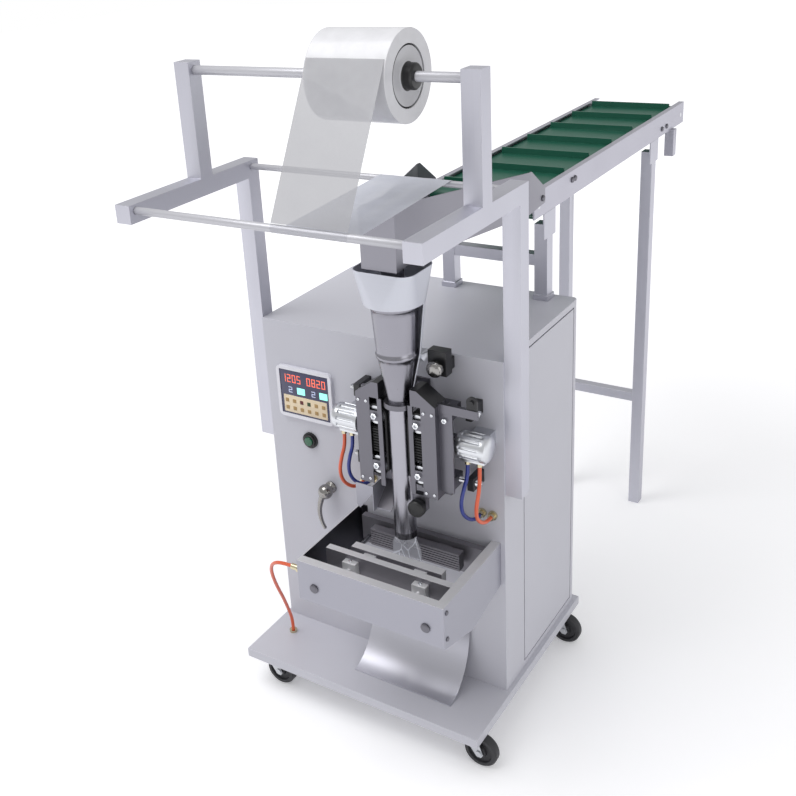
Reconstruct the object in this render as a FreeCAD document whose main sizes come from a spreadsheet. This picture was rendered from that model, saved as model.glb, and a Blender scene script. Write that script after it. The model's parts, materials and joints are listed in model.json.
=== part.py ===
import FreeCAD, Part
import Sketcher
import math
import os

# Liquid pouch packing machine: form, fill and seal unit with a film reel stand and a cleated feed conveyor.
# Machine frame: the cabinet's front face is the plane y = 0, +X is to the right, +Z is up, the floor is
# z = 0. Every sub-part is moved by FRONT along Y at the end, so that the origin is under the middle of
# the whole machine.

SIZES = [
    ("cabinet_width", "580", "cabinet, outside width"),
    ("cabinet_depth", "380", "cabinet, outside depth"),
    ("cabinet_height", "785", "cabinet, height above the platform"),
    ("cabinet_wall", "2.5", "cabinet sheet"),
    ("cabinet_corner", "12", "rounded rear corners"),
    ("platform_top", "100", "top of the platform above the floor"),
    ("platform_side", "10", "platform beyond each side of the cabinet"),
    ("platform_reach", "165", "platform in front of the cabinet"),
    ("platform_rear", "10", "platform behind the cabinet"),
    ("platform_wall", "3", "platform sheet"),
    ("platform_lip", "22", "height of the platform's folded lip"),
    ("door_start", "92", "front edge of the door opening, from the front face"),
    ("door_end", "22", "rear edge of the door opening, from the rear face"),
    ("door_sill", "14", "door opening's margin at the top and bottom"),
    ("door_gap", "3.5", "gap round the door"),
    ("door_flange", "18", "door's returned edge"),
    ("door_pin_radius", "3", "door hinge pin"),
    ("door_pin_inset", "7", "door pin from the outer face and from the rear edge"),
    ("door_pin_length", "9", "door pin beyond the door's edge"),
    ("wheel_radius", "37.5", "castor wheel"),
    ("wheel_width", "24", "castor tread"),
    ("wheel_hub_width", "25", "castor hub"),
    ("castor_side", "38", "castor swivel axes from the platform's side edges"),
    ("castor_front", "45", "front swivel axes from the platform's front edge"),
    ("castor_back", "50", "rear swivel axes from the platform's rear edge"),
    ("castor_trail", "26", "wheel axle behind the swivel axis"),
    ("castor_sheet", "3", "castor fork sheet"),
    ("castor_plate", "4", "castor top plate"),
    ("castor_plate_side", "72", "castor top plate's side"),
    ("king_pin_radius", "6", "castor king pin"),
    ("axle_radius", "4", "castor axle"),
    ("running_gap", "0.05", "radial clearance of shafts in bores"),
    ("curve_gap", "0.3", "gap between curved faces that only lie close"),
    ("feed_x", "110", "filling axis, right of the middle"),
    ("feed_reach", "92", "filling axis, in front of the cabinet"),
    ("tube_radius", "23", "forming tube, outside"),
    ("tube_wall", "1.5", "wall of the tube and the funnels"),
    ("tube_bottom", "500", "lower end of the forming tube"),
    ("tube_top", "812", "upper end of the forming tube"),
    ("funnel_waist", "913", "where the two cones of the funnel meet"),
    ("funnel_top", "1020", "rim of the funnel"),
    ("funnel_waist_radius", "39.5", "funnel radius at the waist"),
    ("funnel_rim_radius", "47", "funnel radius at the rim"),
    ("bead", "2", "depth of the funnel's rolled beads"),
    ("collar_top", "1088", "upper edge of the forming shoulder"),
    ("collar_radius", "60", "forming shoulder radius at its lower edge"),
    ("collar_width", "132", "forming shoulder width at its upper edge"),
    ("collar_depth", "110", "forming shoulder depth at its upper edge"),
    ("collar_corner", "26", "forming shoulder's corners at its upper edge"),
    ("wing_gap", "12", "space between the funnel and the shoulder's wing"),
    ("wing_angle", "130", "part of a turn that the wing covers"),
    ("wing_start", "12", "start of the wing, turned from the machine's right side"),
    ("clamp_x", "44", "shoulder clamp from the filling axis"),
    ("clamp_side", "40", "shoulder clamp's width"),
    ("clamp_drop", "57", "shoulder clamp below the funnel's waist"),
    ("clamp_reach", "50", "clamp's front face, in front of the cabinet"),
    ("clamp_high", "908", "upper edge of the clamp"),
    ("clamp_thick", "24", "shoulder clamp's bar and its stem"),
    ("clamp_seat", "29", "lower edge of the stem's seat, below the cabinet's top"),
    ("clamp_stem", "25", "height of that stem"),
    ("clamp_stud", "4", "stud radius of the clamp knob and the tension knob"),
    ("stud_z", "18", "clamp knob above the clamp's lower edge"),
    ("knob_x", "47", "tension knob from the filling axis"),
    ("knob_drop", "24", "tension knob below the pull unit's cover"),
    ("box_width", "340", "jaw box width"),
    ("box_reach", "250", "jaw box depth"),
    ("box_top", "477", "jaw box rim"),
    ("box_front_low", "383", "lower edge of the box's front plate"),
    ("box_side_low", "350", "lowest corner of the box's side plates"),
    ("box_side_corner", "133", "that corner, in front of the cabinet"),
    ("box_rear_low", "375", "side plates' lower corner at the cabinet"),
    ("box_wall", "3", "jaw box sheet"),
    ("box_flange", "20", "rim folded inward"),
    ("guide_inner", "28", "inner edge of the film guide below the left pull unit, from the filling axis"),
    ("guide_outer", "62", "outer edge of that guide's slope"),
    ("guide_flap", "104", "outer edge of its front flap"),
    ("guide_high", "606", "upper edge of the film guide"),
    ("guide_low", "551", "lower edge of the film guide"),
    ("jaw_rod_x", "130", "jaw guide rods from the filling axis"),
    ("jaw_rod_z", "420", "height of the jaw guide rods"),
    ("rod_radius", "6", "guide rods"),
    ("jaw_travel", "28", "each sealing jaw's stroke"),
    ("jaw_half", "107", "half of a sealing bar's length"),
    ("jaw_bar", "20", "sealing bar thickness"),
    ("jaw_low", "425", "underside of the sealing bars"),
    ("jaw_high", "465", "top of the sealing bars"),
    ("jaw_rib", "2", "depth of the ribs on the sealing faces"),
    ("cross_half", "147", "half of a cross bar's length"),
    ("cross_bar", "16", "cross bar thickness"),
    ("cross_low", "404", "underside of the cross bars"),
    ("cross_high", "471", "top of the cross bars"),
    ("spacer", "20", "space between sealing bar and front cross bar"),
    ("rear_spacer", "10", "space between sealing bar and rear cross bar"),
    ("ram_x", "82", "jaw rams from the filling axis"),
    ("ram_z", "444", "height of the jaw rams"),
    ("ram_radius", "5", "jaw ram rod"),
    ("ram_body", "42", "jaw ram body, along the stroke"),
    ("ram_side", "36", "jaw ram body, across"),
    ("pulley_radius", "20", "inner radius of the pull belts at the pulleys"),
    ("belt_thick", "4", "pull belt thickness"),
    ("belt_width", "28", "pull belt width"),
    ("belt_gap", "0.6", "pull belt from the tube, closed"),
    ("pull_low", "660", "lower pulleys"),
    ("pull_high", "772", "upper pulleys"),
    ("pull_travel", "8", "stroke that opens each pull unit"),
    ("pulley_pin", "5", "pulley pin radius"),
    ("drive_shaft", "8", "drive shaft radius"),
    ("gearbox_half", "74", "half of the gearbox's width"),
    ("gearbox_rise", "54", "half of the gearbox's height"),
    ("gearbox_back", "96", "rear face of the gearbox, behind the cabinet's face"),
    ("motor_neck", "12", "motor's neck"),
    ("motor_neck_radius", "34", "radius of that neck"),
    ("motor_radius", "46", "motor body radius"),
    ("motor_length", "120", "motor body length"),
    ("terminal_side", "60", "terminal box's side"),
    ("terminal_start", "22", "terminal box from the motor's front end"),
    ("terminal_sink", "6", "terminal box into the motor's skin"),
    ("terminal_rise", "22", "terminal box above the motor"),
    ("boss_radius", "13", "drive bosses and their couplings"),
    ("boss_reach", "8", "drive bosses in front of the cabinet"),
    ("boss_gap", "1", "gap round the drive bosses in the cabinet's sheet"),
    ("cover_low", "616", "lower edge of the pull units' covers"),
    ("cover_high", "812", "upper edge of the pull units' covers"),
    ("cover_start", "58", "inner edge of the pull unit's cover, from the filling axis"),
    ("rail_start", "30", "inner edge of the pull unit's inner rail, from the filling axis"),
    ("rail_end", "40", "outer edge of that rail"),
    ("top_rise", "34", "height of the block on top of each pull unit"),
    ("cover_sheet", "3", "pull unit cover sheet"),
    ("back_plate", "8", "pull unit back plate"),
    ("cover_edge", "90", "outer edge of the pull unit's cover, from the filling axis"),
    ("side_bar", "4", "pull unit's side sheet"),
    ("slide_low", "628", "lower guide rod of the pull units"),
    ("slide_high", "784", "upper guide rod of the pull units"),
    ("slide_reach", "36", "those rods in front of the cabinet"),
    ("bracket_x", "122", "rod blocks from the filling axis"),
    ("bracket_wall", "14", "rod block thickness"),
    ("slide_end", "148", "ends of the pull units' guide rods, from the filling axis"),
    ("air_reach", "56", "air cylinder axis in front of the cabinet"),
    ("air_z", "722", "air cylinder height"),
    ("air_radius", "28", "air cylinder radius"),
    ("air_length", "56", "air cylinder length"),
    ("air_start", "114", "inner end of the air cylinders, from the filling axis"),
    ("air_rod", "4", "air cylinder rod radius"),
    ("tube_size", "36", "stand's square tube"),
    ("tube_sheet", "2", "stand's tube wall"),
    ("leg_bottom", "591", "lower end of the stand's legs"),
    ("arm_top", "1235", "top of the stand's arms"),
    ("arm_reach", "353", "arms in front of the cabinet"),
    ("arm_back", "39", "arms behind the cabinet's face"),
    ("upright_front", "146", "uprights' front faces, in front of the cabinet"),
    ("upright_top", "1463", "top of the uprights"),
    ("spindle_z", "1446", "reel spindle height"),
    ("spindle_radius", "9", "reel spindle"),
    ("end_play", "0.5", "shaft ends from the tube's outer wall"),
    ("front_roller_y", "335", "front guide roller, in front of the cabinet"),
    ("front_roller_z", "1222", "front guide roller height"),
    ("front_roller_radius", "7.5", "front guide roller"),
    ("rear_roller_y", "18", "rear guide roller, behind the cabinet's face"),
    ("rear_roller_z", "1222", "rear guide roller height"),
    ("rear_roller_radius", "6.5", "rear guide roller"),
    ("roll_radius", "80", "film roll"),
    ("roll_width", "162", "film roll width"),
    ("roll_x", "103", "middle of the film roll"),
    ("core_radius", "54", "inside of the roll's core"),
    ("hub_radius", "23", "reel hub"),
    ("hub_length", "16", "reel hub beyond the roll"),
    ("web_width", "156", "film web width"),
    ("web_thick", "0.6", "film web"),
    ("rail_height", "56", "conveyor side rail"),
    ("rail_top", "1142", "top of the conveyor rails"),
    ("rail_sheet", "4", "conveyor rail sheet"),
    ("rail_lip", "3", "thickness of the rail's folded lip"),
    ("rail_half", "127", "rail's outer face from the filling axis"),
    ("rail_flange", "14", "rail's folded top edge"),
    ("rail_front", "268", "front end of the rails"),
    ("rail_back", "1275", "rear end of the rails"),
    ("roller_radius", "20", "inner radius of the conveyor belt at its rollers"),
    ("roller_z", "1110", "conveyor roller height"),
    ("roller_front", "292", "front roller"),
    ("roller_back", "1250", "rear roller"),
    ("roller_shaft", "6", "conveyor roller shaft"),
    ("carry_half", "118", "half of the conveyor belt's width"),
    ("carry_thick", "3", "conveyor belt thickness"),
    ("cleat_height", "15", "cleat height"),
    ("cleat_half", "108", "half of a cleat's length"),
    ("cleat_thick", "5", "cleat thickness"),
    ("cleat_pitch", "147", "distance from cleat to cleat"),
    ("bed_sheet", "3", "slider bed"),
    ("drop_side", "24", "square bar under the rear end of the rails"),
    ("drop_out", "9", "that bar beyond the rail's outer face"),
    ("drop_end", "86", "that bar from the rails' rear end"),
    ("drop_length", "72", "length of that bar"),
    ("front_bolt", "202", "rail bolts from the rails' front end"),
    ("front_bolt_drop", "20", "those bolts below the rails' top"),
    ("bolt_step", "16", "distance between those bolts"),
    ("rear_bolt", "147", "rail bolts from the rails' rear end"),
    ("rear_bolt_drop", "38", "those bolts below the rails' top"),
    ("rear_bolt_step", "38", "distance between those bolts"),
    ("trough_bolt", "38", "trough bolts from the rails' lower front corner, both ways"),
    ("stand_tube", "30", "conveyor stand's square tube"),
    ("stand_front", "350", "front legs of the conveyor"),
    ("stand_back", "1035", "rear legs of the conveyor"),
    ("stand_drop", "28", "conveyor legs end this far below the rails"),
    ("foot_height", "12", "rubber feet under the short legs"),
    ("front_brace_rise", "90", "brace between the short legs, above the cabinet"),
    ("rear_brace_z", "343", "brace between the long legs"),
    ("trough_wall", "2", "feed trough sheet"),
    ("trough_front", "140", "front of the trough, in front of the cabinet"),
    ("trough_half", "38", "half of the trough's width at its front"),
    ("trough_low", "1092", "trough floor at its front"),
    ("trough_rise", "14", "rise of the trough floor towards the conveyor"),
    ("trough_high", "1212", "upper edge of the trough at its front"),
    ("neck_radius", "22", "trough neck"),
    ("neck_low", "1046", "lower end of the trough neck"),
    ("panel_width", "146", "control panel width"),
    ("panel_height", "124", "control panel height"),
    ("panel_depth", "9", "control panel bezel in front of the cabinet"),
    ("panel_x", "185", "middle of the control panel, left of the middle"),
    ("panel_drop", "165", "middle of the control panel, below the cabinet's top"),
    ("panel_corner", "12", "control panel corners"),
    ("button_x", "184", "push button, left of the middle"),
    ("button_drop", "115", "push button, below the middle of the control panel"),
    ("button_radius", "10.5", "push button cap"),
    ("button_travel", "4", "push button travel"),
    ("lever_x", "137", "lever handle, left of the middle"),
    ("lever_z", "497", "lever handle height"),
    ("lever_shaft", "6", "lever handle shaft"),
    ("chute_half", "122", "half of the discharge chute's width"),
    ("chute_x", "84", "middle of the discharge chute"),
    ("chute_top", "262", "upper edge of the chute"),
    ("chute_reach", "104", "lower edge of the chute, in front of the cabinet"),
    ("chute_sheet", "2", "chute sheet"),
    ("hose_radius", "4", "air hoses"),
]

doc = FreeCAD.newDocument("pouch_packing_machine")
sheet = doc.addObject("Spreadsheet::Sheet", "Sizes")
NUMBERS = {}
for row, (alias, number, meaning) in enumerate(SIZES, start=1):
    sheet.set("A%d" % row, meaning)
    sheet.set("B%d" % row, number)
    sheet.setAlias("B%d" % row, alias)
    NUMBERS[alias] = float(number)
doc.recompute()


class Size:
    """A length that is known as a number and as an expression on the sheet's cells."""

    def __init__(self, number, text):
        self.number = number
        self.text = text

    def _join(self, other, sign, swap=False):
        other = size(other)
        left, right = (other, self) if swap else (self, other)
        numbers = {"+": left.number + right.number, "-": left.number - right.number,
                   "*": left.number * right.number}
        if sign == "/":
            numbers["/"] = left.number / right.number
        return Size(numbers[sign], "(%s %s %s)" % (left.text, sign, right.text))

    def __add__(self, other):
        return self._join(other, "+")

    def __radd__(self, other):
        return self._join(other, "+", True)

    def __sub__(self, other):
        return self._join(other, "-")

    def __rsub__(self, other):
        return self._join(other, "-", True)

    def __mul__(self, other):
        return self._join(other, "*")

    def __rmul__(self, other):
        return self._join(other, "*", True)

    def __truediv__(self, other):
        return self._join(other, "/")

    def __neg__(self):
        return Size(-self.number, "(-1 * %s)" % self.text)

    def __float__(self):
        return float(self.number)


def size(value):
    return value if isinstance(value, Size) else Size(float(value), repr(float(value)))


class Sheet:
    """Gives each cell of the sheet as a Size: S.cabinet_width."""

    def __getattr__(self, alias):
        return Size(NUMBERS[alias], "Sizes.%s" % alias)


S = Sheet()
MARGIN = 1          # how far a cutting tool runs past the face that it opens
FRONT = -(S.rail_back - S.arm_reach) / 2
AXIS_X = S.feed_x
AXIS_Y = -S.feed_reach
SUBPARTS = []
FORWARD = FreeCAD.Rotation(FreeCAD.Vector(1, 0, 0), 90)
TURNS = {
    "X": FreeCAD.Rotation(FreeCAD.Vector(0, 1, 0), 90),
    "Y": FreeCAD.Rotation(FreeCAD.Vector(1, 0, 0), -90),
    "Z": FreeCAD.Rotation(),
}


def bind(thing, prop, value):
    """Ties one property to the sheet."""
    value = size(value)
    if prop.startswith("Placement") or prop.startswith("Attachment"):
        thing.setExpression(prop, value.text)
        return
    setattr(thing, prop, value.number)
    thing.setExpression(prop, value.text)


def put(thing, x=0, y=0, z=0, turn=None):
    """Places a shape; its turn is kept and its position is tied to the sheet."""
    spot = FreeCAD.Vector(float(size(x)), float(size(y)), float(size(z)))
    thing.Placement = FreeCAD.Placement(spot, turn or FreeCAD.Rotation())
    for letter, value in (("x", x), ("y", y), ("z", z)):
        bind(thing, "Placement.Base.%s" % letter, value)
    return thing


def block(name, low, high):
    """A box between two corners."""
    thing = doc.addObject("Part::Box", name)
    for prop, start, end in zip(("Length", "Width", "Height"), low, high):
        bind(thing, prop, size(end) - start)
    return put(thing, *low)


def rod(name, radius, length, start, axis="Z"):
    """A cylinder that starts at a point and runs along an axis."""
    thing = doc.addObject("Part::Cylinder", name)
    bind(thing, "Radius", radius)
    bind(thing, "Height", length)
    return put(thing, *start, turn=TURNS[axis])


def cone(name, radius_start, radius_end, length, start, turn):
    thing = doc.addObject("Part::Cone", name)
    bind(thing, "Radius1", radius_start)
    bind(thing, "Radius2", radius_end)
    bind(thing, "Height", length)
    return put(thing, *start, turn=turn)


def ball(name, radius, centre):
    thing = doc.addObject("Part::Sphere", name)
    bind(thing, "Radius", radius)
    return put(thing, *centre)


def fuse(name, shapes):
    thing = doc.addObject("Part::MultiFuse", name)
    thing.Shapes = shapes
    thing.Refine = True
    return thing


def group(name, shapes):
    """Separate solids that share one sub-part."""
    thing = doc.addObject("Part::Compound", name)
    thing.Links = shapes
    return thing


def cut(name, base, tools):
    """Takes every tool away from the base."""
    thing = doc.addObject("Part::Cut", name)
    thing.Base = base
    thing.Tool = tools[0] if len(tools) == 1 else group(name + "_tools", tools)
    return thing


def common(name, first, second):
    thing = doc.addObject("Part::Common", name)
    thing.Base = first
    thing.Tool = second
    return thing


def round_edges(name, base, radius, chosen):
    """Fillets the edges that the test picks out."""
    doc.recompute()
    thing = doc.addObject("Part::Fillet", name)
    thing.Base = base
    amount = float(size(radius))
    numbers = [number for number, edge in enumerate(base.Shape.Edges, start=1) if chosen(edge)]
    thing.Edges = [(number, amount, amount) for number in numbers]
    return thing


def upright_edge(edge):
    """True for a straight vertical edge."""
    return len(edge.Vertexes) == 2 and abs(edge.tangentAt(edge.FirstParameter).z) > 0.999


def subpart(thing, name, moved=True):
    """Names a finished sub-part and brings it from the machine frame to the part's own frame."""
    thing.Label = name
    if moved:
        put(thing, 0, FRONT, 0)
    SUBPARTS.append(thing)
    return thing


# Sketched bodies

def new_body(name):
    return doc.addObject("PartDesign::Body", name)


def origin_plane(body, role):
    return next(feature for feature in body.Origin.OriginFeatures if feature.Role == role)


def new_sketch(body, name, role, lift=0):
    """A sketch on one of the body's own planes, lifted along the plane's normal."""
    drawing = body.newObject("Sketcher::SketchObject", name)
    drawing.AttachmentSupport = (origin_plane(body, role), [""])
    drawing.MapMode = "FlatFace"
    bind(drawing, "AttachmentOffset.Base.z", lift)
    return drawing


def pin_point(drawing, geometry, end, x, y):
    """Ties a sketch point's two coordinates to the sheet."""
    for letter, value in (("X", size(x)), ("Y", size(y))):
        number = drawing.addConstraint(
            Sketcher.Constraint("Distance" + letter, -1, 1, geometry, end, value.number))
        drawing.setExpression("Constraints[%d]" % number, value.text)


def draw_outline(drawing, corners):
    """A closed outline of straight edges."""
    spots = [FreeCAD.Vector(float(size(x)), float(size(y)), 0) for x, y in corners]
    count = len(spots)
    first = drawing.GeometryCount
    for index in range(count):
        drawing.addGeometry(Part.LineSegment(spots[index], spots[(index + 1) % count]), False)
    for index in range(count):
        following = first + (index + 1) % count
        drawing.addConstraint(Sketcher.Constraint("Coincident", first + index, 2, following, 1))
    for index, (x, y) in enumerate(corners):
        pin_point(drawing, first + index, 1, x, y)


def draw_loop(drawing, start, end, offset, radius):
    """A belt-shaped loop: two straights and two half circles, round two centres on the sketch's X axis."""
    radius = size(radius)
    low = FreeCAD.Vector(float(size(start)), float(size(offset)), 0)
    high = FreeCAD.Vector(float(size(end)), float(size(offset)), 0)
    up = FreeCAD.Vector(0, 0, 1)
    reach = FreeCAD.Vector(0, radius.number, 0)
    quarter = math.pi / 2
    low_circle = Part.Circle(low, up, radius.number)
    high_circle = Part.Circle(high, up, radius.number)
    first = drawing.addGeometry(Part.ArcOfCircle(low_circle, quarter, 3 * quarter), False)
    last = drawing.addGeometry(Part.ArcOfCircle(high_circle, -quarter, quarter), False)
    under = drawing.addGeometry(Part.LineSegment(low - reach, high - reach), False)
    over = drawing.addGeometry(Part.LineSegment(high + reach, low + reach), False)
    for one, one_end, other, other_end in ((first, 2, under, 1), (under, 2, last, 1),
                                           (last, 2, over, 1), (over, 2, first, 1)):
        drawing.addConstraint(Sketcher.Constraint("Tangent", one, one_end, other, other_end))
    pin_point(drawing, first, 3, start, offset)
    pin_point(drawing, last, 3, end, offset)
    constraint = drawing.addConstraint(Sketcher.Constraint("Radius", first, radius.number))
    drawing.setExpression("Constraints[%d]" % constraint, radius.text)


def pad(body, drawing, length, middle=False, reverse=False):
    feature = body.newObject("PartDesign::Pad", drawing.Name + "_pad")
    feature.Profile = drawing
    bind(feature, "Length", length)
    feature.Midplane = middle
    feature.Reversed = reverse
    return feature


def pocket(body, drawing, length, middle=False, reverse=False):
    feature = body.newObject("PartDesign::Pocket", drawing.Name + "_pocket")
    feature.Profile = drawing
    bind(feature, "Length", length)
    feature.Midplane = middle
    feature.Reversed = reverse
    return feature


def turned(name, profile, angle=360):
    """A turned piece: its profile is (radius, height) points, turned about the body's own Z axis."""
    body = new_body(name)
    drawing = new_sketch(body, name + "_profile", "XZ_Plane")
    draw_outline(drawing, profile)
    feature = body.newObject("PartDesign::Revolution", name + "_turn")
    feature.Profile = drawing
    feature.ReferenceAxis = (drawing, ["V_Axis"])
    bind(feature, "Angle", angle)
    return body


# Base and cabinet

HALF = S.cabinet_width / 2
CABINET_TOP = S.platform_top + S.cabinet_height
SHEET_UNDER = S.platform_top - S.platform_wall
PLATE_UNDER = SHEET_UNDER - S.castor_plate
DOOR_LOW = S.platform_top + S.door_sill
DOOR_HIGH = CABINET_TOP - S.door_sill
DOOR_BACK = S.cabinet_depth - S.door_end
PIN_X = HALF - S.door_pin_inset
PIN_Y = DOOR_BACK - S.door_gap - S.door_pin_inset
PANEL_Z = CABINET_TOP - S.panel_drop
BUTTON_Z = PANEL_Z - S.button_drop
PLATFORM_HALF = HALF + S.platform_side
PLATFORM_BACK = S.cabinet_depth + S.platform_rear
CASTORS = [(side_name + "_" + end_name, sign * (PLATFORM_HALF - S.castor_side), place)
           for side_name, sign in (("left", -1), ("right", 1))
           for end_name, place in (("front", -S.platform_reach + S.castor_front),
                                   ("rear", PLATFORM_BACK - S.castor_back))]


def make_platform():
    """Folded sheet pan with a castor plate welded under each corner."""
    half, back = PLATFORM_HALF, PLATFORM_BACK
    low = S.platform_top - S.platform_lip
    pan = block("pan", (-half, -S.platform_reach, low), (half, back, S.platform_top))
    wall = S.platform_wall
    hollow = block("pan_hollow", (-half + wall, -S.platform_reach + wall, low - MARGIN),
                   (half - wall, back - wall, SHEET_UNDER))
    shell = cut("pan_sheet", pan, [hollow])
    plates = []
    bores = []
    side = S.castor_plate_side / 2
    for name, x, y in CASTORS:
        plates.append(block("plate_" + name, (x - side, y - side, PLATE_UNDER),
                            (x + side, y + side, SHEET_UNDER)))
        bores.append(rod("bore_" + name, S.king_pin_radius + S.running_gap, S.castor_plate + MARGIN,
                         (x, y, PLATE_UNDER - MARGIN)))
    whole = fuse("platform_whole", [shell] + plates)
    subpart(cut("platform", whole, bores), "base_platform")


def make_cabinet():
    """Welded sheet cabinet, open below, with a door opening in its right side."""
    wall = S.cabinet_wall
    outer = block("cabinet_outer", (-HALF, 0, S.platform_top), (HALF, S.cabinet_depth, CABINET_TOP))
    rounded = round_edges("cabinet_round", outer, S.cabinet_corner,
                          lambda edge: upright_edge(edge) and edge.CenterOfMass.y > 1)
    inner = block("cabinet_inner", (-HALF + wall, wall, S.platform_top - MARGIN),
                  (HALF - wall, S.cabinet_depth - wall, CABINET_TOP - wall))
    inner_round = round_edges("cabinet_inner_round", inner, S.cabinet_corner - wall,
                              lambda edge: upright_edge(edge) and edge.CenterOfMass.y > 10)
    opening = block("door_opening", (HALF - wall - MARGIN, S.door_start, DOOR_LOW),
                    (HALF + MARGIN, DOOR_BACK, DOOR_HIGH))
    half_w, half_h = S.panel_width / 2, S.panel_height / 2
    rim = 12
    panel_hole = block("panel_hole", (-S.panel_x - half_w + rim, -MARGIN, PANEL_Z - half_h + rim),
                       (-S.panel_x + half_w - rim, wall + MARGIN, PANEL_Z + half_h - rim))
    holes = [opening, panel_hole]
    for name, x, z, radius in (("button", -S.button_x, BUTTON_Z, S.button_radius + 0.7),
                               ("lever", -S.lever_x, S.lever_z, S.lever_shaft + S.running_gap)):
        holes.append(rod(name + "_hole", radius, wall + 2 * MARGIN, (x, -MARGIN, z), "Y"))
    for sign in (-1, 1):
        holes.append(rod("boss_hole", S.boss_radius + S.boss_gap, wall + 2 * MARGIN,
                         (AXIS_X + sign * PULLEY_X, -MARGIN, S.pull_low), "Y"))
    shell = cut("cabinet_sheet", rounded, [inner_round])
    ears = []
    bores = []
    for name, start, end in (("low", DOOR_LOW - 12, DOOR_LOW - 2), ("high", DOOR_HIGH + 2, DOOR_HIGH + 12)):
        ears.append(block("ear_" + name, (PIN_X - 14, PIN_Y - 12, start), (HALF - wall, PIN_Y + 12, end)))
        bores.append(rod("ear_bore_" + name, S.door_pin_radius + S.running_gap, 10 + 2 * MARGIN,
                         (PIN_X, PIN_Y, start - MARGIN)))
    welded = fuse("cabinet_welded", [cut("cabinet_open", shell, holes)] + ears)
    subpart(cut("cabinet", welded, bores), "cabinet_shell")


def make_door():
    """Flush door of folded sheet with hinge pins at its rear edge."""
    wall, gap = S.cabinet_wall, S.door_gap
    low, high = DOOR_LOW + gap, DOOR_HIGH - gap
    start, end = S.door_start + gap, DOOR_BACK - gap
    skin = block("door_skin", (HALF - wall, start, low), (HALF, end, high))
    flange = S.door_flange
    lower = block("door_lower", (HALF - flange, start, low), (HALF - wall, end, low + wall))
    upper = block("door_upper", (HALF - flange, start, high - wall), (HALF - wall, end, high))
    edge = block("door_edge", (HALF - flange, start, low + wall), (HALF - wall, start + wall, high - wall))
    length = S.door_pin_length + gap
    pins = [rod("door_pin_low", S.door_pin_radius, length, (PIN_X, PIN_Y, low - length)),
            rod("door_pin_high", S.door_pin_radius, length, (PIN_X, PIN_Y, high))]
    subpart(fuse("door", [skin, lower, upper, edge] + pins), "side_door")


def make_castor(name, x, y):
    """Swivel fork and wheel; the wheel trails towards +X."""
    axle_z = S.wheel_radius
    inner = S.wheel_hub_width / 2 + 1
    outer = inner + S.castor_sheet
    crown_low = PLATE_UNDER - 9
    crown = rod("crown", 27, PLATE_UNDER - crown_low, (0, 0, crown_low))
    pin = rod("king_pin", S.king_pin_radius, S.castor_plate - 0.5, (0, 0, PLATE_UNDER))
    cheeks = []
    for sign in (-1, 1):
        body = new_body("cheek")
        drawing = new_sketch(body, "cheek_outline", "XZ_Plane")
        draw_outline(drawing, [(-16, crown_low), (-12, crown_low - 10), (S.castor_trail - 9, axle_z - 4),
                               (S.castor_trail - 4, axle_z - 10), (S.castor_trail + 5, axle_z - 10),
                               (S.castor_trail + 10, axle_z - 2), (22, crown_low - 8), (22, crown_low)])
        pad(body, drawing, S.castor_sheet)
        place = outer if sign > 0 else -inner
        cheeks.append(put(body, 0, place, 0))
    head = 2.5
    axle = rod("axle", S.axle_radius, 2 * outer + 4, (S.castor_trail, -outer - 2, axle_z), "Y")
    heads = [rod("axle_head", 7, head, (S.castor_trail, place, axle_z), "Y")
             for place in (-outer - head, outer)]
    crown_block = block("crown_block", (-16, -outer, crown_low - 1), (22, outer, crown_low + 2))
    fork = fuse("fork_" + name, [crown, pin, crown_block, axle] + cheeks + heads)
    put(fork, x, y + FRONT, 0)
    subpart(fork, "castor_fork_" + name, moved=False)
    half, hub = S.wheel_width / 2, S.wheel_hub_width / 2
    radius = S.wheel_radius
    bore = S.axle_radius + S.running_gap
    profile = [(bore, -hub), (13, -hub), (15, -half + 6), (radius - 12, -half + 6), (radius - 10, -half + 1),
               (radius - 3, -half + 1), (radius, -half + 5), (radius, half - 5), (radius - 3, half - 1),
               (radius - 10, half - 1), (radius - 12, half - 6), (15, half - 6), (13, hub), (bore, hub)]
    wheel = turned("wheel_" + name, profile)
    put(wheel, x + S.castor_trail, y + FRONT, axle_z, TURNS["Y"])
    subpart(wheel, "castor_wheel_" + name, moved=False)


# Front of the cabinet

def make_control_panel():
    """Bezel with a sunk window, keys and a housing that passes through the cabinet's front."""
    half_w, half_h = S.panel_width / 2, S.panel_height / 2
    bezel = block("bezel", (-half_w, -S.panel_depth, -half_h), (half_w, 0, half_h))
    rounded = round_edges("bezel_round", bezel, S.panel_corner,
                          lambda edge: abs(edge.tangentAt(edge.FirstParameter).y) > 0.999)
    rim = 8
    window = block("window", (-half_w + rim, -S.panel_depth - MARGIN, -half_h + rim),
                   (half_w - rim, -S.panel_depth + 2, half_h - rim))
    housing = block("panel_housing", (-half_w + 13, 0, -half_h + 13), (half_w - 13, 58, half_h - 13))
    keys = []
    for line in range(2):
        for column in range(6):
            x = -half_w + 24 + column * (S.panel_width - 48) / 5
            z = -half_h + 20 + line * 20
            keys.append(block("key", (x - 6, -S.panel_depth + 1, z - 6), (x + 6, -S.panel_depth + 2, z + 6)))
    panel = fuse("panel", [cut("bezel_sunk", rounded, [window]), housing] + keys)
    put(panel, -S.panel_x, FRONT, PANEL_Z)
    subpart(panel, "control_panel", moved=False)


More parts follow.
